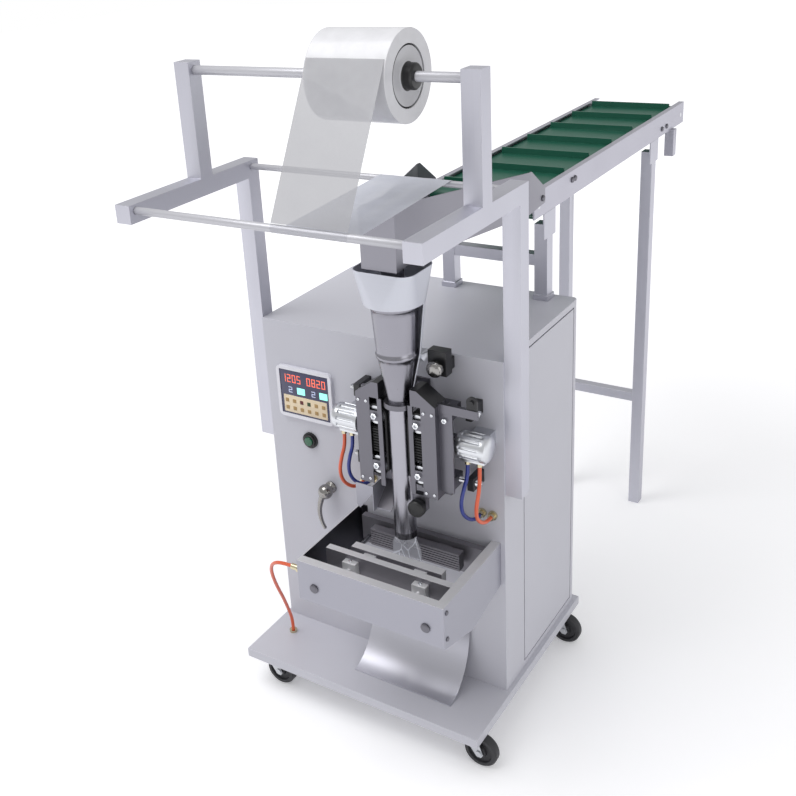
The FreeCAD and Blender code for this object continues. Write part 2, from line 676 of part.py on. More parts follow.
def make_button():
    """Guard ring and body of the push button, and its cap."""
    bore = S.button_radius + 0.3
    profile = [(bore, -40), (bore + 0.3, -40), (bore + 0.3, 0), (19, 0), (19, 5), (15.5, 5), (15.5, 8),
               (14.5, 9), (bore, 9)]
    housing = turned("button_body", profile)
    put(housing, -S.button_x, FRONT, BUTTON_Z, FORWARD)
    subpart(housing, "button_housing", moved=False)
    radius = S.button_radius
    cap = turned("button_cap", [(0, -30), (4, -30), (4, -6), (radius, -6), (radius, 11), (radius - 1, 12),
                                (0, 12.5)])
    put(cap, -S.button_x, FRONT, BUTTON_Z, FORWARD)
    subpart(cap, "push_button", moved=False)


def make_lever():
    """Round hub on a shaft with a tapered, curved lever that hangs down."""
    shaft = rod("lever_shaft_rod", S.lever_shaft, 32, (0, -20, 0), "Y")
    hub = ball("lever_hub", 17, (0, -25, 0))
    rose = rod("lever_rose", 14, 4, (0, -6, 0), "Y")
    stations = [((-6, -28, -8), 7.5), ((-12, -33, -32), 6), ((-13, -35, -56), 5), ((-8, -34, -80), 4.2),
                ((-4, -33, -90), 4)]
    rings = []
    for number, (centre, radius) in enumerate(stations):
        before = FreeCAD.Vector(*stations[max(number - 1, 0)][0])
        after = FreeCAD.Vector(*stations[min(number + 1, len(stations) - 1)][0])
        rings.append(Part.Wire(Part.Circle(FreeCAD.Vector(*centre), after - before, radius).toShape()))
    arm = doc.addObject("Part::Feature", "lever_arm")
    arm.Shape = Part.makeLoft(rings, True)
    tip = ball("lever_tip", 4.3, stations[-1][0])
    lever = fuse("lever", [shaft, hub, rose, arm, tip])
    put(lever, -S.lever_x, FRONT, S.lever_z)
    subpart(lever, "lever_handle", moved=False)


def make_chute():
    """Curved discharge chute from under the jaw box down to the platform."""
    body = new_body("chute")
    drawing = new_sketch(body, "chute_profile", "YZ_Plane")
    steps = 8
    sheet_thick = S.chute_sheet
    drop = S.chute_top - S.platform_top

    def curve(offset):
        """Quarter of an ellipse, from the cabinet's face down to the platform."""
        points = []
        for step in range(steps + 1):
            turn = math.pi / 2 * step / steps
            across, down = 1 - math.cos(turn), math.sin(turn)
            points.append((-(S.chute_reach - offset) * across - offset, S.chute_top - (drop - offset) * down))
        return points
    outer = curve(0)
    inner = curve(sheet_thick)
    draw_outline(drawing, [(x, z) for x, z in inner] + [(x, z) for x, z in reversed(outer)])
    pad(body, drawing, 2 * S.chute_half, middle=True)
    put(body, S.chute_x, FRONT, 0)
    return body


# Sealing jaws

SEAL_FACE = AXIS_Y - S.jaw_travel
REAR_FACE = AXIS_Y + S.jaw_travel


def make_film_guide():
    """Folded sheet below the left pull unit: a slope towards the front, a side wall and a front flap."""
    high, low, sheet = S.guide_high, S.guide_low, 2
    bend_y, end_y, front_y = -40, -100, -112
    slope = extruded("guide_slope", [(0, high), (bend_y, high), (end_y, low), (end_y, low - 3),
                                     (bend_y - 1, high - sheet), (0, high - sheet)], "YZ_Plane",
                     S.guide_outer - S.guide_inner, lift=-S.guide_outer)
    wall = extruded("guide_wall", [(bend_y, high), (front_y, high), (front_y, low - 3), (end_y, low - 3)],
                    "YZ_Plane", sheet, lift=-S.guide_outer - sheet)
    flap = extruded("guide_flap", [(-S.guide_flap, high), (-S.guide_outer, high), (-S.guide_outer, high - 16),
                                   (-S.guide_flap + 8, low - 4), (-S.guide_flap, low + 4)], "XZ_Plane", sheet)
    put(flap, 0, front_y + sheet, 0)
    return fuse("film_guide", [slope, wall, flap])


def make_jaw_box():
    """Open-topped box with folded rims, its side plates drawn to a low corner."""
    half, wall = S.box_width / 2, S.box_wall
    body = new_body("box_outer")
    drawing = new_sketch(body, "box_side", "YZ_Plane")
    draw_outline(drawing, [(0, S.box_top), (-S.box_reach, S.box_top), (-S.box_reach, S.box_front_low),
                           (-S.box_side_corner, S.box_side_low), (0, S.box_rear_low)])
    pad(body, drawing, S.box_width, middle=True)
    inside = block("box_inside", (-half + wall, -S.box_reach + wall, S.box_side_low - MARGIN),
                   (half - wall, MARGIN, S.box_top + MARGIN))
    walls = cut("box_walls", body, [inside])
    rim_low = S.box_top - wall
    front_rim = block("box_front_rim", (-half + wall, -S.box_reach + wall, rim_low),
                      (half - wall, -S.box_reach + S.box_flange, S.box_top))
    right_rim = block("box_right_rim", (half - S.box_flange, -S.box_reach + S.box_flange, rim_low),
                      (half - wall, 0, S.box_top))
    tabs = [mirrored_block("box_tab", sign, (half - wall - 14, -wall, S.box_rear_low + 8),
                           (half - wall, 0, rim_low)) for sign in (-1, 1)]
    welded = fuse("box_welded", [walls, front_rim, right_rim] + tabs)
    box = group("jaw_box_whole", [welded, make_film_guide()])
    put(box, AXIS_X, FRONT, 0)
    subpart(box, "jaw_box", moved=False)


def sealing_bar(name, face_y, sign):
    """Bar with horizontal ribs on its sealing face; sign is the way the face looks along Y."""
    back = face_y - sign * S.jaw_bar
    low_y, high_y = (back, face_y) if sign > 0 else (face_y, back)
    bar = block(name + "_bar", (-S.jaw_half, low_y, S.jaw_low), (S.jaw_half, high_y, S.jaw_high))
    grooves = []
    count = 7
    pitch = (S.jaw_high - S.jaw_low) / count
    for number in range(count - 1):
        z = S.jaw_low + pitch * (number + 1)
        start = face_y - S.jaw_rib if sign > 0 else face_y - MARGIN
        end = face_y + MARGIN if sign > 0 else face_y + S.jaw_rib
        grooves.append(block(name + "_groove", (-S.jaw_half - MARGIN, start, z - 1),
                             (S.jaw_half + MARGIN, end, z + 1)))
    return cut(name + "_ribbed", bar, grooves)


def cross_bar(name, low_y):
    """Cross bar that slides on the two guide rods."""
    bar = block(name + "_cross", (-S.cross_half, low_y, S.cross_low),
                (S.cross_half, low_y + S.cross_bar, S.cross_high))
    bores = [rod(name + "_bore", S.rod_radius + S.running_gap, S.cross_bar + 2 * MARGIN,
                 (sign * S.jaw_rod_x, low_y - MARGIN, S.jaw_rod_z), "Y") for sign in (-1, 1)]
    return cut(name + "_bored", bar, bores)


def make_jaws():
    """Front and rear sealing jaws; they meet on the filling axis."""
    front_back = SEAL_FACE - S.jaw_bar
    cross_y = front_back - S.spacer - S.cross_bar
    spacers = [block("front_spacer", (sign * 60 - 14, front_back - S.spacer, S.jaw_low + 6),
                     (sign * 60 + 14, front_back, S.jaw_high - 6)) for sign in (-1, 1)]
    rams = [rod("ram_rod", S.ram_radius, cross_y + S.box_reach - S.box_wall - 4,
                (sign * S.ram_x, -S.box_reach + S.box_wall + 4, S.ram_z), "Y") for sign in (-1, 1)]
    bars = [sealing_bar("front", SEAL_FACE, 1), cross_bar("front", cross_y)]
    front = fuse("front_jaw", bars + spacers + rams)
    put(front, AXIS_X, FRONT, 0)
    subpart(front, "front_seal_jaw", moved=False)
    rear_back = REAR_FACE + S.jaw_bar
    spacers = [block("rear_spacer_block", (sign * 60 - 14, rear_back, S.jaw_low + 6),
                     (sign * 60 + 14, rear_back + S.rear_spacer, S.jaw_high - 6)) for sign in (-1, 1)]
    bars = [sealing_bar("rear", REAR_FACE, -1), cross_bar("rear", rear_back + S.rear_spacer)]
    rear = fuse("rear_jaw", bars + spacers)
    put(rear, AXIS_X, FRONT, 0)
    subpart(rear, "rear_seal_jaw", moved=False)
    start = -S.box_reach + S.box_wall
    bodies = []
    for sign in (-1, 1):
        x = sign * S.ram_x
        side = S.ram_side / 2
        shell = block("ram_block", (x - side, start, S.ram_z - side + 2),
                      (x + side, start + S.ram_body, S.ram_z + side - 8))
        bore = rod("ram_bore", S.ram_radius + S.running_gap, S.ram_body, (x, start + 2, S.ram_z), "Y")
        bodies.append(cut("ram", shell, [bore]))
    rams = group("jaw_rams", bodies)
    put(rams, AXIS_X, FRONT, 0)
    subpart(rams, "jaw_cylinders", moved=False)


def make_guide_rods():
    """Two rods for the jaws along Y and two for the pull units along X."""
    rods = [rod("jaw_rod", S.rod_radius, S.box_reach - S.box_wall,
                (sign * S.jaw_rod_x, -S.box_reach + S.box_wall, S.jaw_rod_z), "Y") for sign in (-1, 1)]
    rods += [rod("slide_rod", S.rod_radius, 2 * S.slide_end, (-S.slide_end, -S.slide_reach, z), "X")
             for z in (S.slide_low, S.slide_high)]
    rods = group("rods", rods)
    put(rods, AXIS_X, FRONT, 0)
    subpart(rods, "guide_rods", moved=False)


# Forming tube, funnel, shoulder

def rounded_wire(half_x, half_y, corner, z):
    """Closed wire round a rectangle with rounded corners, about the Z axis."""
    edges = []
    centres = [(half_x - corner, half_y - corner), (corner - half_x, half_y - corner),
               (corner - half_x, corner - half_y), (half_x - corner, corner - half_y)]
    last = None
    first = None
    for number, (x, y) in enumerate(centres):
        middle = FreeCAD.Vector(x, y, z)
        start, through, end = [middle + FreeCAD.Vector(corner * math.cos(math.radians(angle)),
                                                       corner * math.sin(math.radians(angle)), 0)
                               for angle in (number * 90, number * 90 + 45, number * 90 + 90)]
        if last is None:
            first = start
        else:
            edges.append(Part.LineSegment(last, start).toShape())
        edges.append(Part.Arc(start, through, end).toShape())
        last = end
    edges.append(Part.LineSegment(last, first).toShape())
    return Part.Wire(edges)


def make_collar(wall):
    """Sheet collar that changes from a circle to a rounded rectangle, as a shape about the filling axis."""
    low, high = float(S.funnel_top) - 2, float(S.collar_top)
    radius = float(S.collar_radius)
    half_x, half_y, corner = float(S.collar_width) / 2, float(S.collar_depth) / 2, float(S.collar_corner)
    round_off = 1

    def loft(inset, extra):
        lower = rounded_wire(radius - inset, radius - inset, radius - inset - round_off, low - extra)
        upper = rounded_wire(half_x - inset, half_y - inset, corner - inset, high + extra)
        return Part.makeLoft([lower, upper], True)
    thing = doc.addObject("Part::Feature", "collar_sheet")
    thing.Shape = loft(0, 0).cut(loft(float(wall), MARGIN))
    return thing


def make_forming_set():
    """Forming tube, two-cone funnel, and the shoulder with its wing and lug."""
    wall = S.tube_wall
    tube = turned("tube", [(S.tube_radius - wall, S.tube_bottom), (S.tube_radius, S.tube_bottom),
                           (S.tube_radius, S.tube_top), (S.tube_radius - wall, S.tube_top)])
    put(tube, AXIS_X, AXIS_Y + FRONT, 0)
    subpart(tube, "forming_tube", moved=False)
    waist, rim, bead = S.funnel_waist_radius, S.funnel_rim_radius, S.bead
    outside = [(S.tube_radius, S.tube_top), (waist - 1, S.funnel_waist - 9),
               (waist - 1 + bead, S.funnel_waist - 8), (waist + bead, S.funnel_waist - 1),
               (waist, S.funnel_waist), (rim - 1, S.funnel_top - 13),
               (rim + bead - 1, S.funnel_top - 12), (rim + bead, S.funnel_top - 4), (rim, S.funnel_top - 3),
               (rim, S.funnel_top)]
    inside = [(rim - wall, S.funnel_top), (waist - wall, S.funnel_waist), (S.tube_radius - wall, S.tube_top)]
    funnel = turned("funnel", outside + inside)
    put(funnel, AXIS_X, AXIS_Y + FRONT, 0)
    subpart(funnel, "feed_funnel", moved=False)
    seat_edge = S.collar_radius - wall / 2
    seat = turned("collar_seat", [(rim - wall, S.funnel_top), (seat_edge, S.funnel_top),
                                  (seat_edge, S.funnel_top + wall), (rim - wall, S.funnel_top + wall)])
    outer = [(rim + S.wing_gap, S.funnel_top + wall / 2), (rim + S.wing_gap, S.funnel_top - 4),
             (waist + S.wing_gap * 2 / 3, S.funnel_waist), (S.tube_radius + 3.5, S.tube_top + 6)]
    inner = [(radius - wall, z) for radius, z in reversed(outer)]
    wing = turned("wing", outer + inner, angle=S.wing_angle)
    start_turn = FreeCAD.Rotation(FreeCAD.Vector(0, 0, 1), float(S.wing_start))
    wing.Placement = FreeCAD.Placement(FreeCAD.Vector(), start_turn)
    lug_low = S.clamp_high - 20
    lug = block("wing_lug", (S.clamp_x - 10, S.feed_reach - 64, lug_low),
                (S.clamp_x, S.feed_reach - S.clamp_reach + 12, lug_low + 14))
    shoulder = fuse("shoulder", [make_collar(wall), seat, wing, lug])
    put(shoulder, AXIS_X, AXIS_Y + FRONT, 0)
    subpart(shoulder, "forming_shoulder", moved=False)


def make_brackets():
    """Ring that holds the tube, the shoulder's clamp, and the blocks that hold the pull units' rods."""
    ring_low, ring_high = S.slide_high + 14, S.slide_high + 25
    ring = rod("ring_disc", S.tube_radius + 8, ring_high - ring_low, (0, AXIS_Y, ring_low))
    arm = block("ring_arm", (-9, AXIS_Y, ring_low), (9, 0, ring_high))
    foot = block("ring_foot", (-20, -4, ring_low - 12), (20, 0, ring_high + 12))
    bore = rod("ring_bore", S.tube_radius + S.running_gap, 40, (0, AXIS_Y, ring_low - 10))
    holder = cut("tube_holder", fuse("holder_whole", [ring, arm, foot]), [bore])
    clamp_low = S.funnel_waist - S.clamp_drop
    middle_x = S.clamp_x + S.clamp_side / 2
    bar_back = -S.clamp_reach + S.clamp_thick
    bar = block("clamp_bar", (S.clamp_x, -S.clamp_reach, clamp_low),
                (S.clamp_x + S.clamp_side, bar_back, S.clamp_high))
    seat_low = CABINET_TOP - S.clamp_seat
    stem = extruded("clamp_stem", [(bar_back, clamp_low), (0, seat_low), (0, seat_low + S.clamp_stem),
                                   (bar_back, clamp_low + S.clamp_stem)],
                    "YZ_Plane", S.clamp_thick, middle=True)
    put(stem, middle_x, 0, 0)
    stud = rod("clamp_bore", S.clamp_stud + S.running_gap, 20,
               (middle_x, -S.clamp_reach - MARGIN, clamp_low + S.stud_z), "Y")
    clamp = cut("shoulder_clamp", fuse("clamp_whole", [bar, stem]), [stud])
    blocks = []
    for sign in (-1, 1):
        for z in (S.slide_low, S.slide_high):
            body = mirrored_block("rod_block", sign, (S.bracket_x, -S.slide_reach - 13, z - 14),
                                  (S.bracket_x + S.bracket_wall, 0, z + 14))
            seat = rod("rod_seat", S.rod_radius + S.running_gap, 400, (-200, -S.slide_reach, z), "X")
            blocks.append(cut("rod_holder", body, [seat]))
    brackets = group("brackets", [holder, clamp] + blocks)
    put(brackets, AXIS_X, FRONT, 0)
    subpart(brackets, "tube_brackets", moved=False)
    knob = turned("knob_turned", [(0, -14), (S.clamp_stud, -14), (S.clamp_stud, S.curve_gap),
                                  (10, S.curve_gap), (12, 3), (17, 6), (17, 14), (14, 18), (8, 20), (0, 20)])
    put(knob, AXIS_X + middle_x, FRONT - S.clamp_reach, clamp_low + S.stud_z, FORWARD)
    subpart(knob, "clamp_knob", moved=False)


# Film pull units

GROOVES = 12

PULLEY_X = S.tube_radius + S.belt_gap + S.belt_thick + S.pulley_radius
COVER_FRONT = AXIS_Y - S.belt_width / 2 - 6
BACK_START = AXIS_Y + S.belt_width / 2 + 4


def mirrored_block(name, sign, low, high):
    """A block given for the right-hand unit; the left-hand unit takes its mirror image."""
    if sign > 0:
        return block(name, low, high)
    return block(name, (-size(high[0]), low[1], low[2]), (-size(low[0]), high[1], high[2]))


def side_rod(name, sign, radius, start, length, y, z):
    """A round bar along X given for the right-hand unit; the left-hand unit takes its mirror image."""
    if sign > 0:
        return rod(name, radius, length, (start, y, z), "X")
    return rod(name, radius, length, (-start - length, y, z), "X")


def right_hand_parts(low, high):
    """Only the right-hand carriage has these: the knob's lug, the outer plate and the bar with its eye."""
    lug = block("knob_lug", (S.rail_end - 4, COVER_FRONT, low - S.knob_drop - 9),
                (S.cover_start + 4, COVER_FRONT + 14, low + 2))
    plate_y = COVER_FRONT + 16
    plate = block("outer_plate", (S.cover_edge - 2, plate_y, low + 14),
                  (S.cover_edge + 28, plate_y + 4, high + 10))
    bar = block("tie_bar", (S.cover_edge - 2, plate_y - 2, high - 8),
                (S.slide_end + 24, plate_y + 6, high + 10))
    eye_x = S.slide_end + 12
    post = block("eye_post", (eye_x - 11, plate_y, high + 8), (eye_x + 11, plate_y + 5, high + 26))
    eye = rod("eye", 11, 5, (eye_x, plate_y, high + 26), "Y")
    bolt = rod("eye_bolt", 5, 4, (eye_x, plate_y - 4, high + 26), "Y")
    return [lug, plate, bar, post, eye, bolt]


def make_pull_unit(side_name, sign):
    """Belt carriage of one side: covers, belt, two pulleys and the air cylinder that opens it."""
    back_end = BACK_START + S.back_plate
    low, high = S.cover_low, S.cover_high
    belt_front = AXIS_Y - S.belt_width / 2
    front_end = COVER_FRONT + S.cover_sheet
    cover = mirrored_block("cover", sign, (S.cover_start, COVER_FRONT, low), (S.cover_edge, front_end, high))
    rail = mirrored_block("inner_rail", sign, (S.rail_start, COVER_FRONT, low),
                          (S.rail_end, front_end + 1, high))
    back = mirrored_block("back", sign, (32, BACK_START, low - 6), (S.cover_edge + 10, back_end, high + 2))
    side = mirrored_block("side_sheet", sign, (S.cover_edge - S.side_bar, COVER_FRONT, low),
                          (S.cover_edge, BACK_START, high))
    straps = [mirrored_block("pin_strap", sign, (S.rail_end - 2, COVER_FRONT + 0.5, z - 11),
                             (S.cover_start + 2, front_end, z + 11)) for z in (S.pull_low, S.pull_high)]
    bushes = [mirrored_block("bush", sign, (52, back_end, z - 13), (100, -S.slide_reach + 12, z + 13))
              for z in (S.slide_low, S.slide_high)]
    lug = mirrored_block("rod_lug", sign, (S.cover_edge - 6, back_end, S.air_z - 13),
                         (S.cover_edge + 10, -S.air_reach + 12, S.air_z + 13))
    piston = side_rod("piston_rod", sign, S.air_rod, S.cover_edge + 10, 46, -S.air_reach, S.air_z)
    top = new_body(side_name + "_top")
    drawing = new_sketch(top, side_name + "_top_outline", "XZ_Plane")
    top_high = high + S.top_rise
    draw_outline(drawing, [(sign * x, z) for x, z in ((36, high), (36, top_high), (50, top_high),
                                                     (S.cover_edge, high + 6), (S.cover_edge, high))])
    pad(top, drawing, back_end - COVER_FRONT)
    put(top, 0, back_end, 0)
    pieces = [cover, rail, back, side, lug, piston, top] + bushes + straps
    if sign > 0:
        pieces += right_hand_parts(low, high)
    whole = fuse(side_name + "_carriage_whole", pieces)
    bores = []
    if sign > 0:
        bores.append(rod("knob_bore", S.clamp_stud + S.running_gap, 14 + 2 * MARGIN,
                         (S.knob_x, COVER_FRONT - MARGIN, low - S.knob_drop), "Y"))
    for z in (S.slide_low, S.slide_high):
        bores.append(rod("slide_bore", S.rod_radius + S.running_gap, 400, (-200, -S.slide_reach, z), "X"))
    for z, shaft in ((S.pull_low, S.drive_shaft), (S.pull_high, S.pulley_pin)):
        bores.append(rod("pin_bore", S.pulley_pin + S.running_gap, 12,
                         (sign * PULLEY_X, COVER_FRONT - MARGIN, z), "Y"))
        bores.append(rod("back_bore", shaft + S.running_gap, S.back_plate + 2 * MARGIN,
                         (sign * PULLEY_X, BACK_START - MARGIN, z), "Y"))
    carriage = cut(side_name + "_carriage", whole, bores)
    put(carriage, AXIS_X, FRONT, 0)
    subpart(carriage, side_name + "_pull_frame", moved=False)

    belt = new_body(side_name + "_belt")
    drawing = new_sketch(belt, side_name + "_belt_outer", "XY_Plane")
    draw_loop(drawing, 0, S.pull_high - S.pull_low, 0, S.pulley_radius + S.belt_thick)
    pad(belt, drawing, S.belt_width, middle=True)
    hollow = new_sketch(belt, side_name + "_belt_inner", "XY_Plane")
    draw_loop(hollow, 0, S.pull_high - S.pull_low, 0, S.pulley_radius)
    pocket(belt, hollow, 2 * S.belt_width, middle=True)
    put(belt, AXIS_X + sign * PULLEY_X, AXIS_Y + FRONT, S.pull_low, BELT_TURN)
    subpart(belt, side_name + "_pull_belt", moved=False)

    half = S.belt_width / 2
    radius = S.pulley_radius - S.curve_gap
    front_end = half + 5
    coupling_end = S.feed_reach - S.boss_reach - 2 * S.curve_gap
    coupling_start = coupling_end - 10
    idler_end = half + 4 + S.back_plate
    idler_tip = [(S.pulley_pin, idler_end), (0, idler_end)]
    drive_tip = [(S.drive_shaft, coupling_start), (S.boss_radius, coupling_start),
                 (S.boss_radius, coupling_end), (0, coupling_end)]
    for pulley_name, z, shaft, tip in (("idler", S.pull_high, S.pulley_pin, idler_tip),
                                       ("drive", S.pull_low, S.drive_shaft, drive_tip)):
        profile = [(0, -front_end), (S.pulley_pin, -front_end), (S.pulley_pin, -half), (radius, -half),
                   (radius, half), (shaft + 3, half), (shaft + 3, half + 3), (shaft, half + 3)] + tip
        pulley = turned(side_name + "_" + pulley_name, profile)
        put(pulley, AXIS_X + sign * PULLEY_X, AXIS_Y + FRONT, z, TURNS["Y"])
        subpart(pulley, side_name + "_" + pulley_name + "_pulley", moved=False)

    length, radius = S.air_length, S.air_radius
    barrel = side_rod("barrel", sign, radius, S.air_start, length, -S.air_reach, S.air_z)
    grooves = []
    for number in range(GROOVES):
        angle = math.radians((number + 0.5) * 360 / GROOVES)
        y = -S.air_reach + (radius + 1) * math.cos(angle)
        z = S.air_z + (radius + 1) * math.sin(angle)
        grooves.append(side_rod("groove", sign, 4, S.air_start + 7, length - 14, y, z))
    cap = turned("air_cap", [(0, 0), (radius, 0), (radius - 2, 5), (radius - 8, 8), (0, 9)])
    end_x = S.air_start + length
    if sign > 0:
        put(cap, end_x, -S.air_reach, S.air_z, TURNS["X"])
    else:
        put(cap, -end_x, -S.air_reach, S.air_z, FreeCAD.Rotation(FreeCAD.Vector(0, 1, 0), -90))
    foot = mirrored_block("air_foot", sign, (S.air_start + 8, -S.air_reach + 12, S.air_z - 14),
                          (end_x - 8, 0, S.air_z + 14))
    boss = mirrored_block("port_boss", sign, (S.air_start + 4, -S.air_reach - 8, PORT_Z),
                          (end_x - 2, -S.air_reach + 8, S.air_z - radius + 8))
    whole = fuse(side_name + "_air_whole", [cut("ribbed_barrel", barrel, grooves), cap, foot, boss])
    bore = side_rod("air_bore", sign, S.air_rod + S.running_gap, S.air_start - MARGIN, length - 8,
                    -S.air_reach, S.air_z)
    cylinder = cut(side_name + "_air", whole, [bore])
    put(cylinder, AXIS_X, FRONT, 0)
    subpart(cylinder, side_name + "_cylinder", moved=False)


# The belt's loop is drawn flat; this turn stands it up with its length along Z and its width along Y.
BELT_TURN = FreeCAD.Rotation(FreeCAD.Matrix(0, 1, 0, 0, 0, 0, 1, 0, 1, 0, 0, 0, 0, 0, 0, 1))


def make_tension_knob():
    """Black knob under the right pull unit."""
    knob = turned("tension", [(0, -12), (S.clamp_stud, -12), (S.clamp_stud, S.curve_gap), (14, S.curve_gap),
                              (18, 4), (18, 16), (16, 19), (0, 20)])
    put(knob, AXIS_X + S.knob_x, COVER_FRONT + FRONT, S.cover_low - S.knob_drop, FORWARD)
    subpart(knob, "tension_knob", moved=False)


# Reel stand

def make_stand(side_name, sign):
    """Welded frame of square tube: leg, arm and upright, one hollow throughout."""
    width, wall = S.tube_size, S.tube_sheet
    inner_x, outer_x = HALF, HALF + width
    arm_low = S.arm_top - width
    upright_back = -S.upright_front + width

    def tubes(inset, low_extra):
        low_x, high_x = inner_x + inset, outer_x - inset
        leg = mirrored_block("leg", sign, (low_x, S.arm_back - width + inset, S.leg_bottom - low_extra),
                             (high_x, S.arm_back - inset, arm_low + inset + MARGIN))
        arm = mirrored_block("arm", sign, (low_x, -S.arm_reach + inset, arm_low + inset),
                             (high_x, S.arm_back - inset, S.arm_top - inset))
        upright = mirrored_block("upright", sign,
                                 (low_x, -S.upright_front + inset, S.arm_top - inset - MARGIN),
                                 (high_x, upright_back - inset, S.upright_top - inset))
        return fuse("tubes", [leg, arm, upright])
    frame = cut(side_name + "_tubes", tubes(0 * wall, 0), [tubes(wall, MARGIN)])
    bores = []
    for radius, y, z in ((S.spindle_radius, -S.upright_front + width / 2, S.spindle_z),
                         (S.front_roller_radius, -S.front_roller_y, S.front_roller_z),
                         (S.rear_roller_radius, S.rear_roller_y, S.rear_roller_z)):
        start = inner_x - MARGIN if sign > 0 else -inner_x - wall - MARGIN
        bores.append(rod("stand_bore", radius + S.running_gap, wall + 2 * MARGIN, (start, y, z), "X"))
    subpart(cut(side_name + "_stand", frame, bores), side_name + "_stand_frame")


def make_rollers():
    """Guide rollers and reel spindle; each runs from one stand frame to the other."""
    reach = HALF + S.tube_size - S.tube_sheet - S.end_play
    front_place = (-S.front_roller_y, S.front_roller_z)
    rear_place = (S.rear_roller_y, S.rear_roller_z)
    for name, radius, (y, z) in (("front_guide_roller", S.front_roller_radius, front_place),
                                 ("rear_guide_roller", S.rear_roller_radius, rear_place),
                                 ("reel_spindle", S.spindle_radius, (SPINDLE_Y, S.spindle_z))):
        profile = [(0, -reach), (radius - 1, -reach), (radius, -reach + 1), (radius, reach - 1),
                   (radius - 1, reach), (0, reach)]
        roller = turned(name + "_bar", profile)
        put(roller, 0, y + FRONT, z, TURNS["X"])
        subpart(roller, name, moved=False)


SPINDLE_Y = -S.upright_front + S.tube_size / 2


def make_reel():
    """Film wound on a core, and the two chucks that hold it on the spindle."""
    half = S.roll_width / 2
    roll = turned("roll", [(S.core_radius, -half), (S.roll_radius, -half), (S.roll_radius, half),
                           (S.core_radius, half)])
    put(roll, S.roll_x, SPINDLE_Y + FRONT, S.spindle_z, TURNS["X"])
    subpart(roll, "film_roll", moved=False)
    bore = S.spindle_radius + S.running_gap
    plug = S.core_radius - S.curve_gap
    chucks = []
    for sign in (-1, 1):
        profile = [(bore, -24), (plug - 4, -24), (plug, -18), (plug, -4), (plug - 3, -1), (plug - 12, -3),
                   (S.hub_radius + 4, -3), (S.hub_radius, 0), (S.hub_radius, S.hub_length - 3),
                   (S.hub_radius - 3, S.hub_length), (bore, S.hub_length)]
        chuck = turned("chuck", profile)
        turn = TURNS["X"] if sign > 0 else FreeCAD.Rotation(FreeCAD.Vector(0, 1, 0), -90)
        chucks.append(put(chuck, sign * half, 0, 0, turn))
    pair = group("chucks", chucks)
    put(pair, S.roll_x, SPINDLE_Y + FRONT, S.spindle_z)
    subpart(pair, "core_chucks", moved=False)


# Conveyor and trough

RAIL_LOW = S.rail_top - S.rail_height


def make_conveyor_frame():
    """Two folded rails joined by the slider bed, and the drop bracket under the rear end."""
    inner = S.rail_half - S.rail_sheet
    pieces = []
    for sign in (-1, 1):
        pieces.append(mirrored_block("rail", sign, (inner, S.rail_front, RAIL_LOW),
                                     (S.rail_half, S.rail_back, S.rail_top)))
        fold_start = (S.rail_half - S.rail_flange, S.rail_front, S.rail_top - S.rail_lip)
        pieces.append(mirrored_block("rail_fold", sign, fold_start, (inner, S.rail_back, S.rail_top)))
    bed_top = S.roller_z + S.roller_radius
    bed_gap = 30
    pieces.append(block("bed", (-inner, S.roller_front + bed_gap, bed_top - S.bed_sheet),
                        (inner, S.roller_back - bed_gap, bed_top)))
    drop_x, drop_y = S.rail_half + S.drop_out, S.rail_back - S.drop_end
    pieces.append(block("drop", (drop_x - S.drop_side, drop_y - S.drop_side, RAIL_LOW - S.drop_length),
                        (drop_x, drop_y, RAIL_LOW)))
    whole = fuse("conveyor_whole", pieces)
    bores = [rod("roller_bore", S.roller_shaft + S.running_gap, 2 * S.rail_half + 2 * MARGIN,
                 (-S.rail_half - MARGIN, y, S.roller_z), "X") for y in (S.roller_front, S.roller_back)]
    frame = cut("conveyor", whole, bores)
    put(frame, AXIS_X, FRONT, 0)
    subpart(frame, "conveyor_frame", moved=False)


def make_conveyor_belt():
    """Endless belt with cleats on its upper and lower runs."""
    belt = new_body("carry_belt")
    drawing = new_sketch(belt, "carry_outer", "YZ_Plane")
    outer = S.roller_radius + S.carry_thick
    draw_loop(drawing, S.roller_front, S.roller_back, S.roller_z, outer)
    pad(belt, drawing, 2 * S.carry_half, middle=True)
    hollow = new_sketch(belt, "carry_inner", "YZ_Plane")
    draw_loop(hollow, S.roller_front, S.roller_back, S.roller_z, S.roller_radius)
    pocket(belt, hollow, 4 * S.carry_half, middle=True)
    cleats = []
    count = 7
    for number in range(count):
        y = S.roller_front + 30 + S.cleat_pitch * number
        half = S.cleat_thick / 2
        top = S.roller_z + outer
        low = S.roller_z - outer
        cleats.append(block("cleat", (-S.cleat_half, y - half, top - 1),
                            (S.cleat_half, y + half, top + S.cleat_height)))
        cleats.append(block("cleat_under", (-S.cleat_half, y - half, low - S.cleat_height),
                            (S.cleat_half, y + half, low + 1)))
    whole = fuse("carry_whole", [belt] + cleats)
    put(whole, AXIS_X, FRONT, 0)
    subpart(whole, "conveyor_belt", moved=False)
    inner = S.rail_half - S.rail_sheet
    radius = S.roller_radius - S.curve_gap
    body_half = S.carry_half - 2
    for name, y in (("conveyor_tail_roller", S.roller_front), ("conveyor_drive_roller", S.roller_back)):
        shaft, collar, collar_end = S.roller_shaft, S.roller_shaft + 3, inner - 2
        profile = [(0, -S.rail_half), (shaft, -S.rail_half), (shaft, -collar_end), (collar, -collar_end),
                   (collar, -body_half), (radius, -body_half), (radius, body_half), (collar, body_half),
                   (collar, collar_end), (shaft, collar_end), (shaft, S.rail_half), (0, S.rail_half)]
        roller = turned(name + "_turned", profile)
        put(roller, AXIS_X, y + FRONT, S.roller_z, TURNS["X"])
        subpart(roller, name, moved=False)


